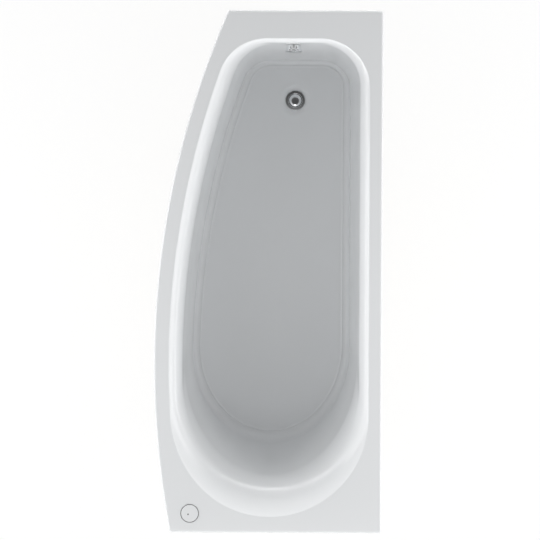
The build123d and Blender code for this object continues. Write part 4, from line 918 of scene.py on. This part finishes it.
spots, ways = rounded_route(corners, CORRUGATION / 4)
hose_rings = []
aside = Vector((0, 1, 0))
for number, (spot, way) in enumerate(zip(spots, ways)):
    across_hose = (aside - way * aside.dot(way)).normalized()
    down_hose = way.cross(across_hose)
    end = min(number, len(spots) - 1 - number) * CORRUGATION / 4
    fold = 0 if end < CUFF else FOLD_DEPTH * (0.5 - 0.5 * math.cos(math.pi * (number % 4) / 2))
    radius = HOSE_RADIUS - fold - (0.6 if number in (0, len(spots) - 1) else 0)
    turns = [i * math.tau / 32 for i in range(32)]
    hose_rings.append([spot + (across_hose * math.cos(t) + down_hose * math.sin(t)) * radius for t in turns])
hose = build_up("corrugated_hose", hose_rings, closed=False)
finish_modifier(hose, "SOLIDIFY", thickness=(HOSE_WALL - FOLD_DEPTH) * MM, offset=-1)
smooth(hose, 60)
put_in_place(hose, "overflow_hose")
hose_white = Finish("white_hose", (0.72, 0.72, 0.69), 0.4)
finishes["white_hose"] = hose_white
hose_white.put("Base Color", hose_white.tint(hose_white.noise(30, 3), (0.74, 0.74, 0.71), (0.66, 0.655, 0.62)))
hose_white.put("Roughness", 0.34 + hose_white.noise(60, 3) * 0.16)
eased("hose_collars", MOULDED_EDGE)
cable_black = Finish("black_cable", (0.02, 0.02, 0.02), 0.5)
finishes["black_cable"] = cable_black
cable_black.put("Base Color", cable_black.tint(cable_black.noise(80, 3), (0.015, 0.015, 0.016), (0.04, 0.04, 0.04)))
cable_black.put("Roughness", 0.4 + cable_black.noise(120, 3) * 0.2)

# The trap.
# Moulded pieces hang under the waste on a ribbed union nut: the cup with its outlet socket, the
# outlet nut that grips the pipe, and the cleaning cap below.
for part in ("trap_body", "trap_union_nut", "trap_cleaning_cap", "outlet_nut"):
    eased(part, MOULDED_EDGE)
TRAP_PALE, TRAP_DARK = (0.76, 0.76, 0.73), (0.68, 0.675, 0.64)
trap = Finish("trap_plastic", TRAP_PALE, 0.35)
finishes["trap_plastic"] = trap
trap.put("Base Color", trap.tint(trap.noise(25, 3), TRAP_PALE, TRAP_DARK))
trap.put("Roughness", 0.28 + trap.noise(60, 3) * 0.16)
trap.bump(trap.noise(1100, 2), 0.08, 0.12)

# The cover cap.
# A round white cap is pushed into the spare hole in the corner of the rim, with a fine raised
# edge and a small dimple, and is held below by a washer and a nut. Its groove and its dimple are
# coloured dark grey as painted shade.
CAP_RADIUS, CAP_HEIGHT, CAP_SHANK, CAP_SHANK_LOW = 29, 2, 17.2, -22
GROOVE, GROOVE_WIDTH = 1.85, 2.2
cap_profile = [(CAP_SHANK - SKIN + 0.3, CAP_SHANK_LOW), (CAP_SHANK, CAP_SHANK_LOW), (CAP_SHANK, -0.02), (CAP_RADIUS - 0.6, -0.02),
               (CAP_RADIUS, 0.35)]
cap_profile += [(CAP_RADIUS, CAP_HEIGHT - 0.6), (CAP_RADIUS - 0.2, CAP_HEIGHT - 0.4), (CAP_RADIUS - 0.6, CAP_HEIGHT - 0.4),
                (CAP_RADIUS - 0.7, CAP_HEIGHT - 0.6), (CAP_RADIUS - 0.75, CAP_HEIGHT - GROOVE)]
ring_in = CAP_RADIUS - 0.7 - GROOVE_WIDTH
cap_profile += [(ring_in, CAP_HEIGHT - GROOVE), (ring_in - 0.05, CAP_HEIGHT - 0.5), (ring_in - 0.3, CAP_HEIGHT - 0.15),
                (ring_in - 0.8, CAP_HEIGHT), (ring_in - 1.6, CAP_HEIGHT), (6, CAP_HEIGHT), (0.01, CAP_HEIGHT)]
cap = build_up("cover_cap", turned_rings(cap_profile, CAP_PLACE))
CAP_DIMPLE, CAP_DIMPLE_X, CAP_DIMPLE_Y = 1.6, 2.9, -4.8
drill(cap, CAP_DIMPLE, CAP_HEIGHT - 1.8, CAP_HEIGHT + 1, CAP_PLACE @ Matrix.Translation((CAP_DIMPLE_X, CAP_DIMPLE_Y, 0)))
smooth(cap, 30)
put_in_place(cap, "rim_cover_cap")
# Painted shade: the base colour goes dark grey deep in the groove and in a small round spot over the dimple, standing
# in for the shade that falls in them.
GROOVE_PAINTED_SHADE, DIMPLE_PAINTED_SHADE_RADIUS = (0.12, 0.12, 0.12), 2.3
cap_white = Finish("cap_white", WHITE, 0.15)
cap_along = cap_white.part(0) - CAP_PLACE.translation.x * MM
cap_across = cap_white.part(1) - CAP_PLACE.translation.y * MM
from_middle = (cap_along ** 2 + cap_across ** 2) ** 0.5
in_groove = cap_white.ramp(from_middle * (1 / (CAP_RADIUS * MM)), (0, 0), (ring_in / CAP_RADIUS - 0.01, 0),
                           (ring_in / CAP_RADIUS, 1), (1 - 0.75 / CAP_RADIUS, 1), (1 - 0.5 / CAP_RADIUS, 0))
cap_sunk = cap_white.part(2) - (RIM_HEIGHT + CAP_HEIGHT - 0.5) * MM
cap_painted_shade = in_groove * cap_sunk.maths("LESS_THAN", cap_sunk, 0)
dot_along, dot_across = cap_along - CAP_DIMPLE_X * MM, cap_across - CAP_DIMPLE_Y * MM
from_dot = (dot_along ** 2 + dot_across ** 2) ** 0.5
cap_painted_shade = cap_painted_shade + from_dot.maths("LESS_THAN", from_dot, DIMPLE_PAINTED_SHADE_RADIUS * MM)
cap_white.put("Base Color", cap_white.tint(cap_painted_shade, WHITE, GROOVE_PAINTED_SHADE))
cap_white.on(cap)
eased("cover_cap_nut", MOULDED_EDGE)


# The finishes on the pieces.
# Each piece and each part that comes as it is from the frame gets the finish of its material slot.
for name, node in nodes.items():
    if not node.hide_render:
        finishes[slot_of[name]].on(node)
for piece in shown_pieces():
    if "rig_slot" in piece and not piece.data.materials:
        finishes[piece["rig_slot"]].on(piece)


# The studio.
# A plain pale floor, soft light from both sides and the head end, and a dim ceiling where the
# camera hangs. The floor and the air behind it look white and keep the bath's soft shadow.
FLOOR_SIZE = 40
FLOOR_COLOUR = (0.88, 0.88, 0.88)
bpy.ops.object.select_all(action="DESELECT")
bpy.ops.mesh.primitive_plane_add(size=FLOOR_SIZE)
ground = bpy.context.object
ground.name = "studio_floor"
paper = Finish("paper", FLOOR_COLOUR, 0.9)
SHADOW_SHARE = 0.2
rays = paper.add("ShaderNodeLightPath", {}, {}, "Is Camera Ray")
shine = Value(paper, rays.socket.node.outputs["Is Glossy Ray"])
clear = Value(paper, rays.socket.node.outputs["Is Transmission Ray"])
glow = paper.add("ShaderNodeEmission", {}, {"Color": (1, 1, 1, 1), "Strength": 1.07})
surface = Value(paper, paper.surface.outputs[0])
seen = (rays + shine + clear).at_most(1) * (1 - SHADOW_SHARE)
both = paper.add("ShaderNodeMixShader", {}, {0: seen, 1: surface, 2: glow})
paper.tree.links.new(both.socket, paper.tree.nodes["Material Output"].inputs["Surface"])
paper.on(ground)

world = bpy.data.worlds.new("studio")
bpy.context.scene.world = world
world.use_nodes = True
air = Nodes(world.node_tree, "Generated")
along, across, up = air.part(0), air.part(1), air.part(2)
FULL, ZENITH = 60, 0.09


def side(*levels):
    """Light of one side of the room from pairs of height and strength."""
    return air.ramp(up, *[(height, strength / FULL) for height, strength in levels])


wall_light = side((0, 19), (0.04, 8), (0.12, 1), (0.3, 0), (0.55, 0), (0.8, 1.2), (0.9, 0.15), (1, ZENITH))
front_light = side((0, 18), (0.04, 2), (0.12, 3.5), (0.3, 0), (0.55, 0), (0.8, 1.4), (0.9, 0.15), (1, ZENITH))
head_light = side((0, 6), (0.04, 6), (0.12, 0.5), (0.55, 1.8), (0.8, 0.3), (0.9, 0.08), (1, ZENITH))
waste_light = side((0, 14), (0.04, 12), (0.12, 1.5), (0.3, 0.15), (0.55, 0.6), (0.8, 0.6), (0.9, 0.3), (1, ZENITH))
flat = along ** 2 + across ** 2
light = (wall_light * across.at_least(0) ** 2 + front_light * (0 - across).at_least(0) ** 2
         + head_light * along.at_least(0) ** 2 + waste_light * (0 - along).at_least(0) ** 2)
light = light.maths("DIVIDE", light, flat.at_least(0.00001)) * up.maths("GREATER_THAN", up, 0)
sky = world.node_tree.nodes["Background"]
sky.inputs["Color"].default_value = (1, 1, 1, 1)
world.node_tree.links.new((light * FULL).socket, sky.inputs["Strength"])


def softbox(name, place, width, height, power):
    """A soft rectangular lamp that faces the bath."""
    bpy.ops.object.select_all(action="DESELECT")
    way = Vector((0, 0, RIM_HEIGHT * MM)) - Vector(place)
    bpy.ops.object.light_add(type="AREA", location=place, rotation=way.to_track_quat("-Z", "Y").to_euler())
    lamp = bpy.context.object
    lamp.name = name
    lamp.data.shape = "RECTANGLE"
    lamp.data.size, lamp.data.size_y = width, height
    lamp.data.energy = power
    lamp.visible_camera = False


softbox("lamp_head_end", (1.6, 0, 3.0), 1.2, 1.2, 8)
softbox("lamp_front_side", (0.3, -1.6, 1.4), 1.7, 0.5, 8)
softbox("lamp_wall_side", (0.3, 1.6, 1.4), 1.7, 0.5, 7)
softbox("lamp_wall_high", (0.2, 1.8, 1.6), 2.4, 0.8, 3)
